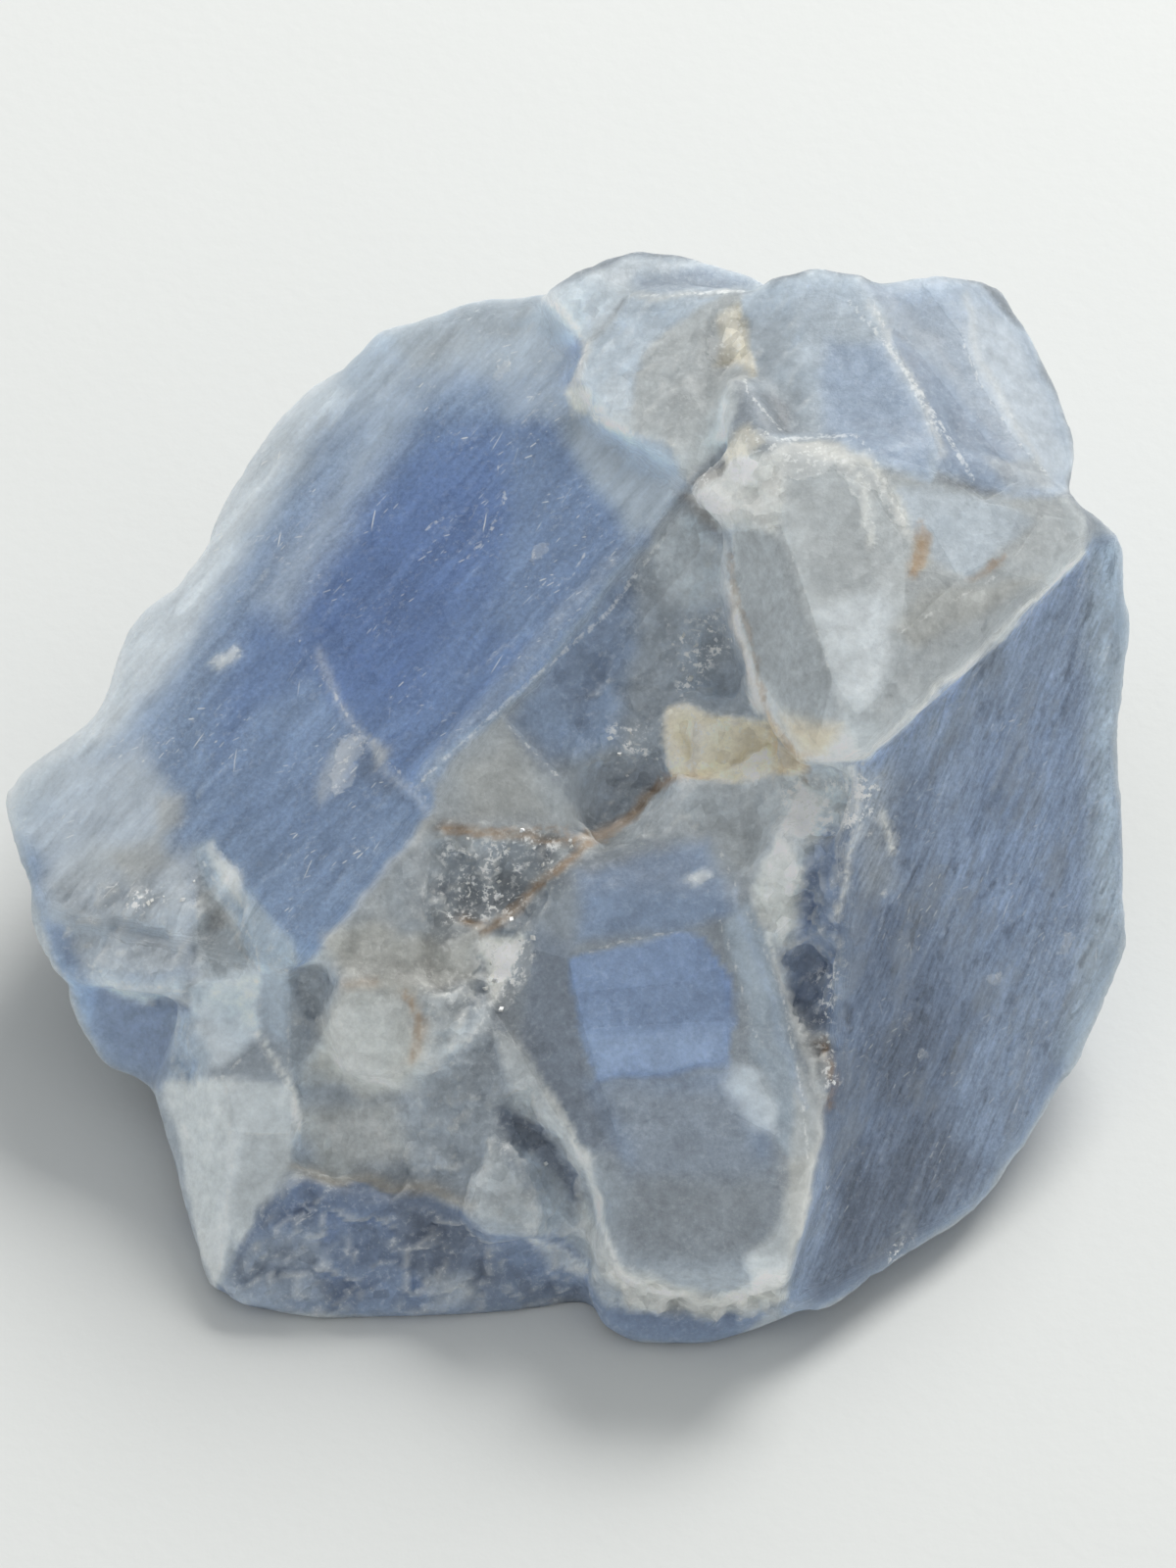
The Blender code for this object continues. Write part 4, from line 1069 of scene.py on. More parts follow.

# %% White lines, partly cracks and partly painted edge highlights, and rusty cracks
# half the line's width in sheet units, corners
WHITE_CRACKS_AND_EDGE_HIGHLIGHTS = [
    (0.6, [(911, 649), (981, 608), (1021, 585)]),
    (1.2, [(795, 451), (830, 447), (873, 446), (888, 463), (911, 515), (923, 538)]),
    (0.6, [(748, 544), (746, 608), (763, 643), (772, 689), (795, 724), (830, 759)]),
    (0.8, [(1105, 565), (1039, 637), (958, 707), (880, 773), (828, 775)]),
    (0.5, [(795, 538), (813, 585), (847, 695), (871, 730)]),
    (1.6, [(865, 306), (911, 359), (958, 434), (992, 492)]),
    (0.5, [(880, 322), (925, 385), (960, 450)]),
    (0.6, [(888, 301), (917, 370), (946, 434)]),
    (0.8, [(981, 341), (998, 388), (1033, 446), (1068, 486)]),
    (0.6, [(755, 335), (760, 399), (795, 440)]),
    (0.9, [(304, 651), (347, 719), (372, 756), (428, 806), (446, 830)]),
    (1.2, [(428, 799), (496, 737), (515, 719), (620, 626), (680, 545)]),
    (0.7, [(508, 471), (515, 508), (496, 551), (474, 570)]),
    (0.6, [(434, 539), (453, 527), (477, 523)]),
    (0.6, [(600, 560), (586, 585), (566, 602)]),
    (0.5, [(507, 728), (576, 799)]),
    (1.4, [(878, 778), (868, 850), (858, 915)]),
    (1.2, [(900, 832), (909, 866)]),
    (0.6, [(734, 868), (796, 1008), (818, 1120), (824, 1182)]),
    (0.5, [(710, 880), (742, 960), (772, 1060)]),
    (0.5, [(580, 977), (639, 958), (701, 949)]),
    (1.2, [(502, 1030), (480, 1060), (460, 1086)]),
    (0.6, [(230, 1100), (238, 1178), (224, 1296)]),
    (0.6, [(168, 1106), (230, 1100)]),
    (0.8, [(266, 1066), (302, 1122), (297, 1156), (241, 1158)]),
    (0.5, [(294, 988), (294, 1094)]),
    (0.5, [(266, 988), (266, 1066), (228, 1096)]),
    (0.8, [(200, 868), (262, 966), (268, 995)]),
    (1.0, [(88, 985), (130, 1003), (190, 1012)]),
    (1.0, [(540, 1265), (575, 1278), (602, 1298)]),
    (0.5, [(300, 1250), (330, 1228), (352, 1232)]),
    (0.5, [(560, 300), (600, 350), (588, 380), (577, 400)]),
    (0.6, [(655, 300), (705, 298), (760, 296)]),
]
RUST_LINES = [
    (0.6, [(455, 848), (484, 850), (535, 845), (576, 845), (590, 864), (622, 854), (650, 831), (678, 790)]),
    (0.6, [(590, 864), (576, 882), (535, 914), (503, 942), (475, 942)]),
    (0.5, [(745, 570), (748, 600), (763, 643), (778, 715)]),
    (1.0, [(936, 536), (946, 552), (938, 578), (926, 590)]),
    (1.0, [(930, 548), (940, 556), (932, 570), (930, 584)]),
    (0.5, [(1004, 580), (1021, 570)]),
    (0.5, [(414, 1012), (428, 1035), (424, 1075)]),
    (0.6, [(800, 760), (824, 785), (820, 795)]),
    (0.6, [(838, 1060), (850, 1105), (845, 1130)]),
]
print("white cracks:", len(WHITE_CRACKS_AND_EDGE_HIGHLIGHTS), "rusty cracks:", len(RUST_LINES))

# %% Distances to keep
SEEN_ENOUGH = 0.4
FAR = 60.0  # sheet units, the distance that hidden places get
still_across, still_down = on_sheet(points)


def deepest(outlines):
    """How far inside the nearest of the outlines each seen place is, in sheet units."""
    gaps = [gap_inside(still_across, still_down, outline) for outline in outlines]
    return np.where(seen > SEEN_ENOUGH, np.max(gaps, axis=0), -FAR)


def nearest(lines):
    """How far each seen place is from the nearest of the lines."""
    gaps = [gap_to_line(still_across, still_down, corners) - half for half, corners in lines]
    return np.where(seen > SEEN_ENOUGH, np.min(gaps, axis=0), FAR)


kept = {
    "lit_facet": deepest(LIT_FACETS),
    "shaded_facet": deepest(SHADED_FACETS),
    "frosted": deepest(FROSTED),
    "white_crack_and_highlight": nearest(WHITE_CRACKS_AND_EDGE_HIGHLIGHTS),
    "rust_line": nearest(RUST_LINES),
}
for name in ("lit_facet", "shaded_facet", "frosted"):
    print("share of the skin,", name, round(float((kept[name] > 0).mean()), 3))


# %% [markdown]
# ## Taking the light out of the colours
#
# The named colours are what the eye sees on the lit stone, so they hold light and shade too. Painted on
# as they are, a hollow would be dark twice. So each corner gets the light that reaches it: rays go out in
# many directions, and each one finds the room, the floor or another face of the stone. More rays ask how
# much of the lamp can be seen. The colour is then divided by that light.

# %% Light at each corner
RAYS = 26  # directions that are tried at each corner
REACH = 40.0  # mm, how far a ray is followed
OFF_THE_SKIN = 0.35  # mm, how far outside the skin a ray starts
GRAZING = 0.05  # directions flatter than this are left out
FLOOR_LIGHT = 0.40  # what the paper sends up, where 1 makes white paper look white
STONE_LIGHT = 0.27  # what another face of the stone sends back
ON_THE_LAMP = ((0, 0), (110, 80), (-110, 80), (110, -80), (-110, -80))  # mm, across and up from its middle


def all_round(count):
    """Directions spread evenly over a sphere."""
    height = 1.0 - (2.0 * np.arange(count) + 1.0) / count
    turn = np.arange(count) * np.pi * (3.0 - 5.0**0.5)
    width = np.sqrt(1.0 - height**2)
    return np.stack([width * np.cos(turn), width * np.sin(turn), height], 1)


def light_received(corners, normals):
    """Light at each corner, where 1 makes white paper look white."""
    skin = bvhtree.BVHTree.FromPolygons(points.tolist(), [tuple(face.vertices) for face in fine.polygons])
    starts = corners + OFF_THE_SKIN * normals
    light = np.zeros(len(corners))
    total = np.zeros(len(corners))
    for direction in all_round(RAYS):
        facing = normals @ direction
        value = ROOM if direction[2] > 0.0 else FLOOR_LIGHT
        for place in np.nonzero(facing > GRAZING)[0]:
            hit = skin.ray_cast(starts[place], direction, REACH)[0] is not None
            light[place] += facing[place] * (STONE_LIGHT if hit else value)
            total[place] += facing[place]
    light /= total
    window = 1000.0 * np.array(WINDOW)
    strength = WATTS / (np.pi * 0.001 * np.linalg.norm(window)) ** 2
    for offset_x, offset_up in ON_THE_LAMP:
        way = unit(window + np.array([offset_x, -offset_up, offset_up]))
        facing = normals @ way
        for place in np.nonzero(facing > 0.0)[0]:
            if skin.ray_cast(starts[place], way, REACH)[0] is None:
                light[place] += facing[place] * strength / len(ON_THE_LAMP)
    return light


front = np.nonzero(seen > 0.02)[0]
light = np.ones(len(points))
light[front] = light_received(points[front], normals[front])
light = spread(light, 5, 0.5)
light += smooth(0.0, 0.05, ridge) * np.maximum(spread(light, 25) - light, 0.0)
print("light received, darkest, middle and brightest:", np.round(np.percentile(light[front], [2, 50, 98]), 2))

# %% [markdown]
# ## Painting the skin
#
# The patches and lines reach only what the viewer sees. The hidden sides get the same stone by rule:
# thick places are blue, thin ones pale, and slow noises bring in grey and a little beige. The pale of
# thin places is partly painted light, the light that comes through thin stone. A colour attribute
# carries the result to the material. It changes slowly, so one value at each corner is enough, and the
# material adds all that is finer.

# %% Colour at each corner
def mix_in(colours, name, share):
    """Moves the colours towards a named one by a share at each place."""
    return colours + share[:, None] * (linear(PALETTE[name]) - colours)


def painted():
    """The colour that the viewer sees at each corner, from the patches and the lines."""
    colours = np.tile(linear(PALETTE["smoke"]), (len(points), 1))
    for name, soft, strength, outline in patches:
        share = strength * smooth(-soft / 2, soft / 2, gap_inside(across, down, outline))
        colours = mix_in(colours, name, share)
    for name, half, soft, strength, corners in LINES:
        gap = gap_to_line(across, down, corners)
        colours = mix_in(colours, name, strength * (1.0 - smooth(half - soft / 2, half + soft / 2, gap)))
    return colours


def hidden_colours():
    """The colour of the sides that the viewer can't see, from how thick and how torn the stone is."""
    colours = np.tile(linear(PALETTE["worn_blue"]), (len(points), 1))
    slow, slower, quick = field(points, 6.0, 51.0), field(points, 9.0, 52.0), field(points, 2.5, 53.0)
    colours = mix_in(colours, "blue", smooth(-0.1, 0.4, slower))
    colours = mix_in(colours, "sky_blue", 0.8 * smooth(0.0, 0.4, slow + 0.4 * quick))
    colours = mix_in(colours, "smoke", 0.8 * smooth(0.0, 0.55, -slow + 0.3 * quick))
    colours = mix_in(colours, "beige", 0.6 * smooth(0.15, 0.6, -slower + 0.5 * quick))
    # thin stone painted pale, partly painted light that comes through it
    colours = mix_in(colours, "pale_blue", 0.8 * (1.0 - smooth(1.5, 6.5, spread(thick, 30))))
    return mix_in(colours, "veil", 0.7 * smooth(0.3, 0.8, torn) * smooth(0.0, 0.3, quick))


seen_colours = painted()
print("mean colour where it is seen:", np.round(seen_colours[seen > 0.5].mean(0), 2))

# %% [markdown]
# The two large faces have a grain and a finish of their own, so each corner also needs to know how much
# it belongs to one of them.

# %% The two large faces
LEFT_ZONE = [
    (0, 820), (262, 460), (400, 322), (556, 295), (600, 430),
    (705, 495), (650, 560), (510, 730), (300, 990), (40, 930),
]
RIGHT_ZONE = [
    (1140, 540), (1150, 960), (1000, 1230), (800, 1338),
    (850, 1130), (868, 778), (960, 700), (1100, 560),
]


def share_of_face(zone, by_direction):
    """How much each place belongs to a large face: by its zone where it is seen, or else by its direction."""
    return seen * smooth(-10, 10, gap_inside(across, down, zone)) + (1.0 - seen) * by_direction


left_share = share_of_face(LEFT_ZONE, on_left)
right_share = share_of_face(RIGHT_ZONE, on_right)
print("share of the skin, left face:", round(float(left_share.mean()), 2))
print("share of the skin, right face:", round(float(right_share.mean()), 2))

# %% [markdown]
# The division by the light has limits. No channel may pass 1, and all three stop together, so the hue
# stays. The light is never taken for less than `DIMMEST`, and at a rim that turns away, where it is least
# certain, for less than a little more. The left face has a limit of its own, or else its lower end would
# turn a bright blue. The steps of the relief, slow clouds and the bruised ridges then vary the tone.

# %% Colours with the light taken out
PAPER_WHITE = 1.09  # what a colour is multiplied by before the light divides it
DIMMEST = 0.22
DIMMEST_AT_RIM = 0.25  # more than DIMMEST
BRIGHTEST = 2.2
LEFT_LIMIT = 1.6  # the most that a colour of the left face is multiplied by

turned_away = 1.0 - smooth(0.1, 0.5, normals @ np.array(OUT))
gain = PAPER_WHITE / np.clip(light, DIMMEST + DIMMEST_AT_RIM * turned_away, BRIGHTEST)
gain += left_share * np.minimum(LEFT_LIMIT - gain, 0.0)
own = seen_colours * np.minimum(gain, 1.0 / seen_colours.max(1))[:, None]
colours = seen[:, None] * own + (1.0 - seen[:, None]) * hidden_colours()
bruise = smooth(0.015, 0.06, ridge + 0.015 * field(points, 0.8, 54.0)) * (0.35 + 0.5 * torn)
colours = mix_in(colours, "frost", 0.45 * bruise)
clouds = (0.35 + 0.85 * torn) * (0.20 * field(points, 2.4, 61.0) + 0.14 * field(points, 0.9, 62.0))
flat_tone = on_left * left_tone + on_right * right_tone
tones = torn * (0.13 * coarse_tone + 0.10 * small_tone) + 0.05 * (1.0 - torn) * flat_tone
colours *= (1.0 + clouds + tones)[:, None]
print("mean colour, as light:", np.round(colours.mean(0), 3))

# %% [markdown]
# The material needs more than the colour: how torn or bruised a place is, where the white marks and the
# painted glints are, which places are calm and without grain, which large face a place is on, and the
# distances that were kept. Each is one number at each corner.

# %% Attributes that the material reads
def write_value(name, values):
    """A value at each corner, for the material to read."""
    fine.attributes.new(name, "FLOAT", "POINT").data.foreach_set("value", np.asarray(values, np.float32))


paint = np.ones((len(points), 4), np.float32)
paint[:, :3] = colours
fine.attributes.new("paint", "FLOAT_COLOR", "POINT").data.foreach_set("color", paint.ravel())
# painted glints: white specks that stand in for light flashing off tiny facets, also counted as marked
glint = seen * np.max([smooth(-8, 8, gap_inside(across, down, outline)) for outline in PAINTED_GLINTS], axis=0)
marked = smooth(-0.05, 0.35, field(points, 2.2, 63.0)) * (left_share + 0.6 * right_share + 0.12)
calm = seen * smooth(0.28, 0.42, seen_colours[:, 1]) * (left_share + 0.6 * (1.0 - left_share) * (1.0 - torn))
own_values = {
    "torn": torn,
    "bruise": bruise,
    "marked": np.maximum(marked, glint),
    "glint": glint,
    "calm": calm,
    "left_face": left_share,
    "right_face": right_share,
    **kept,
}
for name, values in own_values.items():
    write_value(name, values)
print("attributes:", ["paint", *own_values])

# %% [markdown]
# ## Maths on sockets
#
# A material is a tree of nodes, and long sums are hard to read as nodes. `Wire` wraps one output of the
# tree. Adding or multiplying wires makes the Math nodes, so a pattern can be written as a formula. Its
# `node` method makes any other node: it takes the node's type, its settings, and what goes into its
# sockets. The tree of the crystals is built with it too.

# %% A wire
class Wire:
    """One output in a tree of nodes, with operators that make Math nodes."""

    def __init__(self, tree, socket=None):
        self.tree = tree
        self.socket = socket

    def put(self, socket, value):
        if isinstance(value, Wire):
            self.tree.links.new(value.socket, socket)
        else:
            socket.default_value = value

    def node(self, kind, settings=None, values=None, output=0):
        """A new node, with its settings set first, and then its sockets by name, identifier or number."""
        made = self.tree.nodes.new(kind)
        for name, value in (settings or {}).items():
            setattr(made, name, value)
        for key, value in (values or {}).items():
            named = [socket for socket in made.inputs if key in (socket.identifier, socket.name)]
            self.put(named[0] if named else made.inputs[key], value)
        named = [socket for socket in made.outputs if output in (socket.identifier, socket.name)]
        return Wire(self.tree, (named or [*made.outputs, None])[0 if named else output])

    def maths(self, operation, *values):
        return self.node("ShaderNodeMath", {"operation": operation}, dict(enumerate(values)))

    def __add__(self, other):
        return self.maths("ADD", self, other)

    def __sub__(self, other):
        return self.maths("SUBTRACT", self, other)

    def __rsub__(self, other):
        return self.maths("SUBTRACT", other, self)

    def __mul__(self, other):
        return self.maths("MULTIPLY", self, other)

    __radd__ = __add__
    __rmul__ = __mul__

    def __abs__(self):
        return self.maths("ABSOLUTE", self)

    def at_most(self, other):
        return self.maths("MINIMUM", self, other)

    def at_least(self, other):
        return self.maths("MAXIMUM", self, other)

    def step(self, low, high):
        """0 below low and 1 above high, with a soft step between."""
        values = {"Value": self, "From Min": low, "From Max": high}
        return self.node("ShaderNodeMapRange", {"interpolation_type": "SMOOTHSTEP"}, values)

    def dot(self, direction):
        values = {0: self, 1: tuple(direction)}
        return self.node("ShaderNodeVectorMath", {"operation": "DOT_PRODUCT"}, values, "Value")

    def scaled(self, factor):
        return self.node("ShaderNodeVectorMath", {"operation": "SCALE"}, {0: self, "Scale": factor})

    def vector(self, operation, *others):
        """Vector maths on this vector and others."""
        return self.node("ShaderNodeVectorMath", {"operation": operation}, dict(enumerate((self, *others))))

    def towards(self, colour, share):
        """This colour mixed towards another by a share."""
        values = {"Factor_Float": share, "A_Color": self, "B_Color": colour}
        return self.node("ShaderNodeMix", {"data_type": "RGBA"}, values, "Result_Color")

    def blended(self, place, share):
        """These coordinates moved towards others by a share."""
        values = {"Factor_Float": share, "A_Vector": self, "B_Vector": place}
        return self.node("ShaderNodeMix", {"data_type": "VECTOR"}, values, "Result_Vector")

    def other(self, output):
        """Another output of the node that this wire comes from."""
        return Wire(self.tree, self.socket.node.outputs[output])

    def attribute(self, name, output="Fac"):
        """A value that is kept at the corners of the skin."""
        return self.node("ShaderNodeAttribute", {"attribute_name": name}, output=output)

    def noise(self, place, scale, detail=2.0, roughness=0.5):
        """Smooth noise from 0 to 1, with lumps about 1 / scale wide."""
        values = {"Vector": place, "Scale": scale, "Detail": detail, "Roughness": roughness}
        return self.node("ShaderNodeTexNoise", values=values)

    def cells(self, place, scale):
        """How far a place is from the middle of its cell. The cell's random colour is another output."""
        return self.node("ShaderNodeTexVoronoi", values={"Vector": place, "Scale": scale}, output="Distance")


print("a wire can:", [name for name in vars(Wire) if not name.startswith("_")])

# %% [markdown]
# ## The stone's material
#
# Light goes a few millimetres into calcite, scatters and comes out again near by. Subsurface scattering
# does this, and it softens the shading and makes thin edges glow. A fully clear material with a cloudy
# volume inside would be closer still, but it is slow and noisy, and this stone shows nothing behind it.
# Red light is absorbed first, so blue gets the longest reach.
#
# Every pattern reads the place on the stone in millimetres, so its scale is a real size. On the two large
# faces the patterns follow the grain, so they need coordinates that run across and along it.

# %% Coordinates on a face
def along_grain(place, grain, cleavage):
    """Coordinates across, along and through a face's grain, in mm."""
    side = np.cross(cleavage, grain)
    values = {"X": place.dot(unit(side)), "Y": place.dot(grain), "Z": place.dot(cleavage)}
    return place.node("ShaderNodeCombineXYZ", values=values)


def stretched(place, x, y, z=1.0):
    """Coordinates that run faster along some axes, which makes a pattern finer there."""
    return place.vector("MULTIPLY", (x, y, z))


def by_face(place, skin, stretch):
    """Stretched coordinates that follow the grain on each large face, and the stone's own axes elsewhere."""
    on_left_face = stretched(skin.on_left_face, *stretch["left"])
    on_right_face = stretched(skin.on_right_face, *stretch["right"])
    elsewhere = stretched(place, *stretch["elsewhere"])
    return elsewhere.blended(on_left_face, skin.left).blended(on_right_face, skin.right)


print("grain of the left and the right face:", np.round(LEFT_GRAIN, 2), np.round(RIGHT_GRAIN, 2))

# %% Starting and ending a material
def new_material(name):
    """An empty material, a wire to start from, and the place on the piece in mm."""
    material = bpy.data.materials.new(name)
    material.use_nodes = True
    material.node_tree.nodes.clear()
    start = Wire(material.node_tree)
    return material, start, start.node("ShaderNodeTexCoord", output="Object").scaled(1000.0)


def finish_material(start, values, settings=None):
    """Puts the values on a Principled shader and the shader on the surface."""
    shader = start.node("ShaderNodeBsdfPrincipled", settings, values)
    start.node("ShaderNodeOutputMaterial", values={"Surface": shader})


print("materials so far:", len(bpy.data.materials))

# %% [markdown]
# The attributes come first. The distances that were kept turn into sharp borders here: a step that is a
# few sheet units wide cuts them off. A noise is added before the cut, so facets, frost and cracks get
# ragged edges, as broken stone has.

# %% What the skin says at each place
def read_skin(start, place):
    """The stone's own values as wires, with the borders of facets, frost and cracks made sharp."""
    wobble = start.noise(place, scale=2.0, detail=2.0, roughness=0.65) - 0.5
    return SimpleNamespace(
        torn=start.attribute("torn"),
        bruise=start.attribute("bruise"),
        marked=start.attribute("marked"),
        glint=start.attribute("glint"),
        calm=start.attribute("calm"),
        left=start.attribute("left_face"),
        right=start.attribute("right_face"),
        on_left_face=along_grain(place, LEFT_GRAIN, LEFT_CLEAVAGE),
        on_right_face=along_grain(place, RIGHT_GRAIN, RIGHT_CLEAVAGE),
        # pale and dark carry the painted light and shade of lit and shaded facets
        pale=(start.attribute("lit_facet") + 5.0 * wobble).step(-0.9, 0.9),
        dark=(start.attribute("shaded_facet") + 6.0 * wobble).step(-0.9, 0.9),
        frosted=(start.attribute("frosted") + 18.0 * wobble).step(-1.5, 1.5),
        white_crack_and_highlight=1.0 - (start.attribute("white_crack_and_highlight") + 5.0 * wobble).step(0.0, 1.6),
        rust_line=1.0 - (start.attribute("rust_line") + 16.0 * wobble).step(-1.0, 5.0),
    )


print("values to read:", len(own_values))

# %% [markdown]
# The two large faces show long thin streaks, the edges of layers a hair thick. An image could show them,
# but noise that is stretched along the grain has no seams and stays sharp from near by. Broad streaks,
# fine streaks and a fine grain are added up, and the painted colour is multiplied by the sum. Calm places
# have less grain.

# %% Streaks and grain
# lumps per mm across the grain, along it, and into the stone
STREAKS = {"left": (2.2, 0.45, 0.6), "right": (6.0, 1.0, 1.0), "elsewhere": (1.8, 1.8, 1.8)}


def grain_of(start, place, skin):
    """Fine streaks and grain, both from about -0.5 to 0.5."""
    streaks = start.noise(by_face(place, skin, STREAKS), scale=1.0, detail=3.0, roughness=0.70) - 0.5
    grain = start.noise(place, scale=5.0, detail=2.0, roughness=0.75) - 0.5
    return streaks, grain


def grained(start, colour, skin, streaks, grain):
    """The colour with streaks, grain, and the painted light and shade of lit and shaded facets."""
    broad_place = stretched(skin.on_left_face, 1.0, 0.16, 0.3)
    broad_place = broad_place.blended(stretched(skin.on_right_face, 1.5, 0.22, 0.3), skin.right)
    broad = start.noise(broad_place, scale=1.0, detail=2.0, roughness=0.60) - 0.5
    tone = 1.0 + broad * (0.30 * skin.left + 0.60 * skin.right)
    tone = tone + streaks * (0.60 - 0.08 * skin.left + 0.45 * skin.right)
    tone = tone + grain * (0.38 + 0.32 * skin.left + 0.30 * skin.right - 0.40 * skin.calm)
    return colour.scaled(tone + 0.09 * skin.pale - 0.13 * skin.dark)


print("streaks on the left face, mm wide and long:", [round(1.0 / side, 2) for side in STREAKS["left"][:2]])

# %% [markdown]
# The right face is cloudier than the left one and has small dark spots. Two noises, stretched along its
# grain and cut off softly, give both.

# %% Clouds and spots
CLOUD_GREY = (0.27, 0.30, 0.33, 1.0)


def clouded(start, colour, skin):
    """The colour with grey clouds and small dark spots on the right face."""
    cloud_place = stretched(skin.on_right_face, 0.50, 0.20, 0.3)
    clouds = start.noise(cloud_place, scale=1.0, detail=4.0, roughness=0.65)
    colour = colour.towards(CLOUD_GREY, 0.42 * skin.right * clouds.step(0.48, 0.62))
    spots = start.noise(stretched(skin.on_right_face, 1.5, 0.7, 0.5), scale=1.0, detail=3.0, roughness=0.60)
    return colour.scaled(1.0 - 0.26 * skin.right * spots.step(0.58, 0.70))


print("the clouds are grey:", CLOUD_GREY[:3])

# %% [markdown]
# Torn calcite is a mass of tiny facets, half a millimetre wide and less. In the mesh they would need many
# times its faces, so a pattern of cells stands for them. Each cell has a random colour, which gives it a
# tone and a lean of its own, so neighbours catch the light differently. The cells are small lumps where
# the stone is torn and long slivers on the large faces.

# %% Small cells
# cells per mm across the grain, along it, and into the stone
CELLS = {"left": (2.6, 0.60, 0.6), "right": (2.4, 0.6, 0.6), "elsewhere": (1.9, 1.9, 1.9)}


def small_cells(start, place, skin):
    """How far each place is from the middle of its cell."""
    return start.cells(by_face(place, skin, CELLS), 1.0)


print("cells where the stone is torn, mm wide:", round(1.0 / CELLS["elsewhere"][0], 2))

# %% [markdown]
# White comes last, because bruises, scratches and frost lie on top of all else. A scratch is the middle
# line of a large cell, turned by the cell's random colour and cut to a random length. The painted glints
# are the brightest: clumps of white specks in the zones drawn on the sheet, which stand in for light
# flashing off tiny facets.

# %% White marks and painted glints
BRUISED_WHITE = (0.78, 0.79, 0.77, 1.0)
PAINTED_GLINT_WHITE = (0.95, 0.95, 0.93, 1.0)


def scratches(place, per_mm, lean):
    """Short straight scratches on a face, each near the middle of a cell and turned its own way."""
    scaled = stretched(place, per_mm, per_mm)
    values = {"Vector": scaled, "Scale": 1.0}
    cell = place.node("ShaderNodeTexVoronoi", {"voronoi_dimensions": "2D"}, values, "Position")
    dice = cell.other("Color")
    values = {"Vector": scaled.vector("SUBTRACT", cell), "Angle": lean + 0.9 * dice.dot((1.0, 0.0, 0.0))}
    turned = place.node("ShaderNodeVectorRotate", {"rotation_type": "Z_AXIS"}, values)
    beside, along = abs(turned.dot((1.0, 0.0, 0.0))), abs(turned.dot((0.0, 1.0, 0.0)))
    reach = dice.dot((0.0, 0.6, 0.0)) - 0.12
    thin = 1.0 - (beside * (1.0 / per_mm)).step(0.01, 0.045)
    return thin * (reach - along).step(0.0, 0.25) * dice.dot((0.0, 0.0, 1.3))


def whiteness(skin, cell, specks):
    """How white each place is from marks in the cells, scratches, frosted skin, white lines that are partly
    painted edge highlights, and flecks.
    """
    marks = 1.0 - cell.step(0.07, 0.12)
    flat_place = skin.on_left_face.blended(skin.on_right_face, skin.right)
    scratch = scratches(flat_place, 0.7, -0.2).at_least(scratches(flat_place, 2.0, -0.9))
    off_the_faces = 1.0 - 0.75 * skin.left - 0.75 * skin.right
    fleck_share = 0.04 + 0.20 * skin.torn + 0.30 * skin.bruise + 0.28 * skin.frosted
    fleck_share = fleck_share + 0.25 * skin.marked * off_the_faces
    white = (0.35 * marks + 0.55 * scratch) * skin.marked + 0.22 * skin.frosted
    # white lines: partly cracks, partly painted highlights along edges
    white = white + 0.5 * skin.white_crack_and_highlight * specks.step(0.40, 0.56)
    return white + specks.step(0.57, 0.62) * fleck_share


print("bruises are", BRUISED_WHITE[:3], "and glints are", PAINTED_GLINT_WHITE[:3])

# %% [markdown]
# Now the parts are put together. Torn, bruised and white places are rougher. The streaks, the grain and
# the borders of facets and frost are also a very low relief, and the cells lean the surface their own way
# on top of that.

# %% The stone's finish
LIGHT_REACH = 0.0032  # m, how far light goes under the skin
RELIEF = 0.00008  # m


def stone_material(name):
    """The painted colour with all the patterns over it, a low relief, and light passing under the skin."""
    material, start, place = new_material(name)
    skin = read_skin(start, place)
    streaks, grain = grain_of(start, place, skin)
    cell = small_cells(start, place, skin)
    dice = cell.other("Color")
    specks = start.noise(place, scale=3.6, detail=3.0, roughness=0.72)
    clumps = start.noise(place, scale=1.2, detail=2.0, roughness=0.60).step(0.45, 0.56)
    white = whiteness(skin, cell, specks)

    colour = grained(start, start.attribute("paint", "Color"), skin, streaks, grain)
    colour = clouded(start, colour, skin)
    colour = colour.scaled(1.0 + (dice.dot((0.6, 0.5, 0.4)) - 0.75) * (0.05 + 0.26 * skin.torn))
    colour = colour.towards(BRUISED_WHITE, 0.85 * white.at_most(1.0))
    # painted glints: white specks that stand in for light flashing off tiny facets
    colour = colour.towards(PAINTED_GLINT_WHITE, 0.85 * skin.glint * clumps * specks.step(0.49, 0.57))
    colour = colour.towards((*linear(PALETTE["rust"]), 1.0), 0.34 * skin.rust_line)

    height = 0.6 * streaks + 0.4 * grain + 0.25 * skin.pale - 0.25 * skin.dark + 0.5 * skin.frosted
    values = {"Strength": 0.7, "Distance": RELIEF, "Height": height}
    bump = start.node("ShaderNodeBump", values=values, output="Normal")
    lean = dice.vector("SUBTRACT", (0.5, 0.5, 0.5)).scaled(0.08 + 0.4 * skin.torn)
    values = {
        "Base Color": colour,
        "Roughness": 0.46 + 0.08 * skin.torn + 0.2 * skin.bruise + 0.5 * white + 0.25 * streaks,
        "IOR": 1.5,
        "Specular IOR Level": 0.32,
        "Subsurface Weight": 0.9,
        "Subsurface Radius": (0.88, 0.93, 1.0),
        "Subsurface Scale": LIGHT_REACH,
        "Normal": bump.vector("ADD", lean).vector("NORMALIZE"),
    }
    finish_material(start, values, {"subsurface_method": "RANDOM_WALK"})
    return material


calcite = stone_material("blue calcite")
fine.materials.clear()
fine.materials.append(calcite)
print("nodes in the stone's material:", len(calcite.node_tree.nodes))

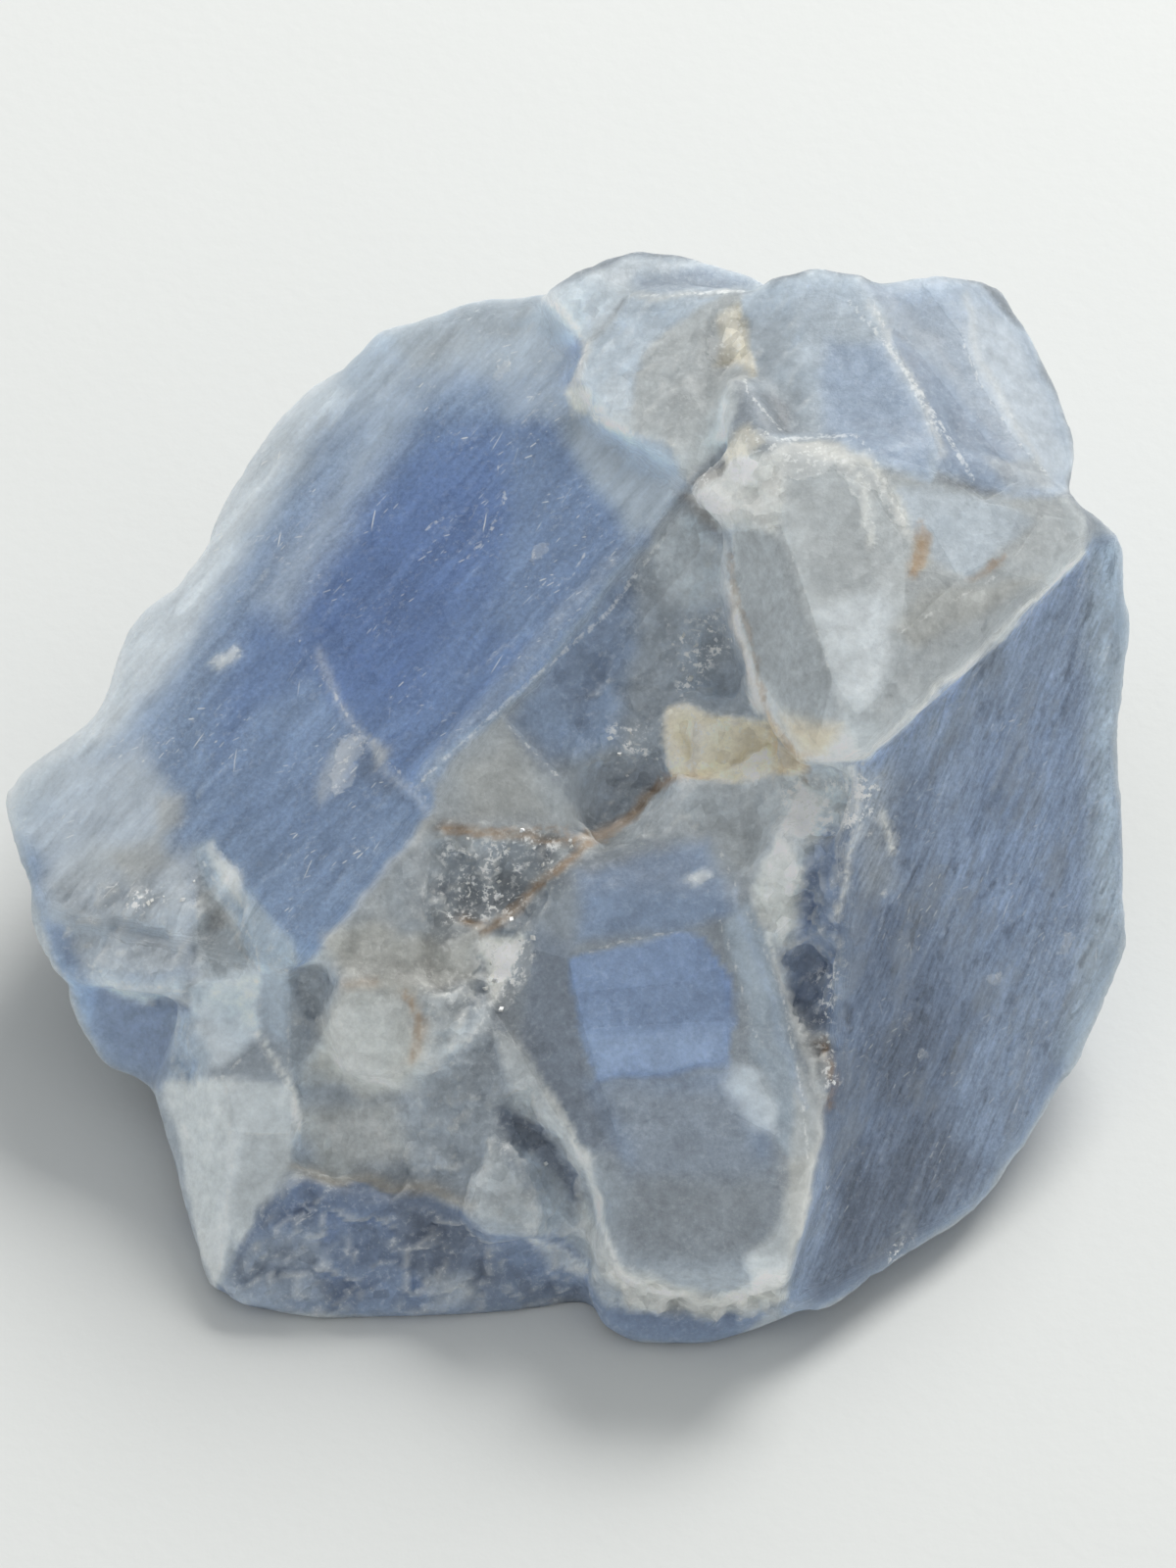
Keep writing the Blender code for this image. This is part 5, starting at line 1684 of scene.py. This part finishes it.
# %% [markdown]
# ## Sugar of small crystals
#
# In bruised places the real stone is crusted with tiny rhombs that glint. They repeat over a surface, so
# Geometry Nodes make them: points are strewn where `CRUST` says, or where a hidden side is torn, and a
# small rhomb stands on each. A rhomb is a leaning cube, so six faces are enough.

# %% A tree that crusts a surface with rhombs
FULL_TURN = 6.283  # radians


def crystal_tree(material):
    """A tree that strews rhombs over a mesh, thickly where its `crust` value is high."""
    tree = bpy.data.node_groups.new("Crystal crust", "GeometryNodeTree")
    tree.interface.new_socket("Geometry", in_out="OUTPUT", socket_type="NodeSocketGeometry")
    tree.interface.new_socket("Geometry", in_out="INPUT", socket_type="NodeSocketGeometry")
    for name in ("Per square millimetre", "Smallest", "Largest"):
        tree.interface.new_socket(name, in_out="INPUT", socket_type="NodeSocketFloat")
    tree.interface.new_socket("Seed", in_out="INPUT", socket_type="NodeSocketInt")

    start = Wire(tree)
    given = start.node("NodeGroupInput")
    seed = given.other("Seed")
    named = start.node("GeometryNodeInputNamedAttribute", {"data_type": "FLOAT"}, {"Name": "crust"})
    density = named * given.other("Per square millimetre")
    values = {"Mesh": given, "Density": density, "Seed": seed}
    strewn = start.node("GeometryNodeDistributePointsOnFaces", {"distribute_method": "RANDOM"}, values)

    corner = start.node("GeometryNodeInputPosition")
    apart = start.node("ShaderNodeSeparateXYZ", values={0: corner})
    lean = start.node("ShaderNodeCombineXYZ", values={"X": apart.other("Y"), "Y": apart.other("Z")})
    cube = start.node("GeometryNodeMeshCube", values={"Size": (1.0, 1.0, 0.8)})
    values = {"Geometry": cube, "Offset": lean.scaled(0.3)}
    rhomb = start.node("GeometryNodeSetPosition", values=values)

    values = {"Min": (-0.5, -0.5, 0.0), "Max": (0.5, 0.5, FULL_TURN), "Seed": seed}
    turn = start.node("FunctionNodeRandomValue", {"data_type": "FLOAT_VECTOR"}, values)
    turn = start.node("FunctionNodeEulerToRotation", values={0: turn})
    values = {"Rotation": strewn.other("Rotation"), "Rotate By": turn}
    turned = start.node("FunctionNodeRotateRotation", {"rotation_space": "LOCAL"}, values)
    values = {"Min_001": given.other("Smallest"), "Max_001": given.other("Largest"), "Seed": seed}
    size = start.node("FunctionNodeRandomValue", {"data_type": "FLOAT"}, values, "Value_001")
    values = {"Points": strewn, "Instance": rhomb, "Rotation": turned, "Scale": size}
    placed = start.node("GeometryNodeInstanceOnPoints", values=values)
    real = start.node("GeometryNodeRealizeInstances", values={"Geometry": placed})
    done = start.node("GeometryNodeSetMaterial", values={"Geometry": real, "Material": material})
    start.node("NodeGroupOutput", values={"Geometry": done})
    return tree


def crystal_material(name):
    """Small milky crystals: paler and glossier than the stone, each a little different."""
    material, start, place = new_material(name)
    values = {
        "Factor_Float": start.noise(place, scale=1.7).step(0.35, 0.65),
        "A_Color": (*linear(PALETTE["frost"]), 1.0),
        "B_Color": (0.80, 0.82, 0.83, 1.0),
    }
    grey = start.node("ShaderNodeMix", {"data_type": "RGBA"}, values, "Result_Color")
    values = {
        "Base Color": grey,
        "Roughness": 0.05 + 0.30 * start.noise(place, scale=3.0, detail=1.0),
        "IOR": 1.6,
        "Subsurface Weight": 0.4,
        "Subsurface Radius": (1.0, 1.0, 1.0),
        "Subsurface Scale": 0.0004,
    }
    finish_material(start, values, {"subsurface_method": "RANDOM_WALK"})
    return material


tree = crystal_tree(crystal_material("small crystals"))
print("nodes that crust the stone:", len(tree.nodes))

# %% Strewing the crystals
# strength, softness of the border in sheet units, outline
CRUST = [
    (1.0, 20, [(675, 635), (740, 630), (750, 665), (700, 700), (680, 680)]),
    (1.0, 20, [(615, 755), (680, 735), (685, 790), (640, 800)]),
    (0.9, 20, [(460, 850), (600, 850), (590, 885), (500, 950), (450, 920)]),
    (1.0, 14, [(495, 955), (550, 955), (545, 1000), (515, 1035), (498, 1010)]),
    (0.5, 14, [(835, 1060), (850, 1060), (850, 1110), (838, 1100)]),
    (0.8, 12, [(125, 915), (200, 905), (200, 945), (140, 945)]),
    (0.5, 12, [(560, 1150), (600, 1210), (590, 1240), (550, 1190)]),
]
HIDDEN_CRUST = 0.25  # strength on the torn places of the hidden sides


def crust():
    """How thickly each place is crusted: from the list where it is seen, and nowhere on the rest face."""
    listed = np.zeros(len(points))
    for strength, soft, outline in CRUST:
        listed = np.maximum(listed, strength * smooth(-soft / 2, soft / 2, gap_inside(across, down, outline)))
    hidden = HIDDEN_CRUST * smooth(0.35, 0.6, torn)
    return (seen * listed + (1.0 - seen) * hidden) * smooth(0.5, 1.5, points[:, 2])


write_value("crust", crust())
crusted = stone.modifiers.new("crust", "NODES")
crusted.node_group = tree
sizes = {"Per square millimetre": 1.0, "Smallest": 0.07, "Largest": 0.18, "Seed": 5}  # mm
for item in tree.interface.items_tree:
    if item.in_out == "INPUT" and item.name in sizes:
        crusted[item.identifier] = sizes[item.name]
crystals = bpy.data.objects.new("sugar_crystals", as_result(stone))
stone.modifiers.clear()
bpy.context.scene.collection.objects.link(crystals)
print("crystals:", len(crystals.data.polygons) // 6)

# %% [markdown]
# ## Back to metres
#
# Both pieces go back to metres, with their place in their meshes. The attribute that only the crystals
# needed is taken off, and so are the stone's values that the crystals inherited. Smooth shading hides the
# quarter-millimetre faces of the skin, and the crystals keep their flat ones.

# %% Finished meshes
fine.attributes.remove(fine.attributes["crust"])
fine.polygons.foreach_set("use_smooth", np.ones(len(fine.polygons), bool))
for piece in (stone, crystals):
    piece.data.transform(Matrix.Scale(0.001, 4))
    piece.data.update()
for name in ("paint", "crust", *own_values):
    if name in crystals.data.attributes:
        crystals.data.attributes.remove(crystals.data.attributes[name])
for piece in (stone, crystals):
    print(piece.name, "triangles:", sum(len(face.vertices) - 2 for face in piece.data.polygons))

# %% [markdown]
# ## Floor
#
# The floor is pale, matt paper with a very faint cloudiness and a little tooth. One flat face is enough,
# and the material does the rest. It is stage, not part of the stone.

# %% Paper floor
def paper_material():
    material, start, place = new_material("pale paper")
    values = {
        "Factor_Float": start.noise(place, scale=0.05, detail=3.0),
        "A_Color": (0.665, 0.68, 0.665, 1.0),
        "B_Color": (0.69, 0.705, 0.69, 1.0),
    }
    shade = start.node("ShaderNodeMix", {"data_type": "RGBA"}, values, "Result_Color")
    values = {"Strength": 0.15, "Distance": 0.0001, "Height": start.noise(place, scale=1.6, detail=4.0)}
    bump = start.node("ShaderNodeBump", values=values, output="Normal")
    finish_material(start, {"Base Color": shade, "Roughness": 0.65, "Normal": bump})
    return material


def paper_floor(half_side):
    sheet = bmesh.new()
    bmesh.ops.create_grid(sheet, x_segments=1, y_segments=1, size=half_side)
    mesh = bpy.data.meshes.new("Floor")
    sheet.to_mesh(mesh)
    sheet.free()
    floor = bpy.data.objects.new("Floor", mesh)
    floor.data.materials.append(paper_material())
    bpy.context.scene.collection.objects.link(floor)
    return floor


floor = paper_floor(3.0)
print("floor side, m:", floor.dimensions.x)

# %% [markdown]
# ## Handing the pieces over
#
# The stone replaces the packed solid, and the crystals ride with it.

# %% Riding and the end
for piece in (stone, crystals):
    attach(piece, "root")
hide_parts("calcite")
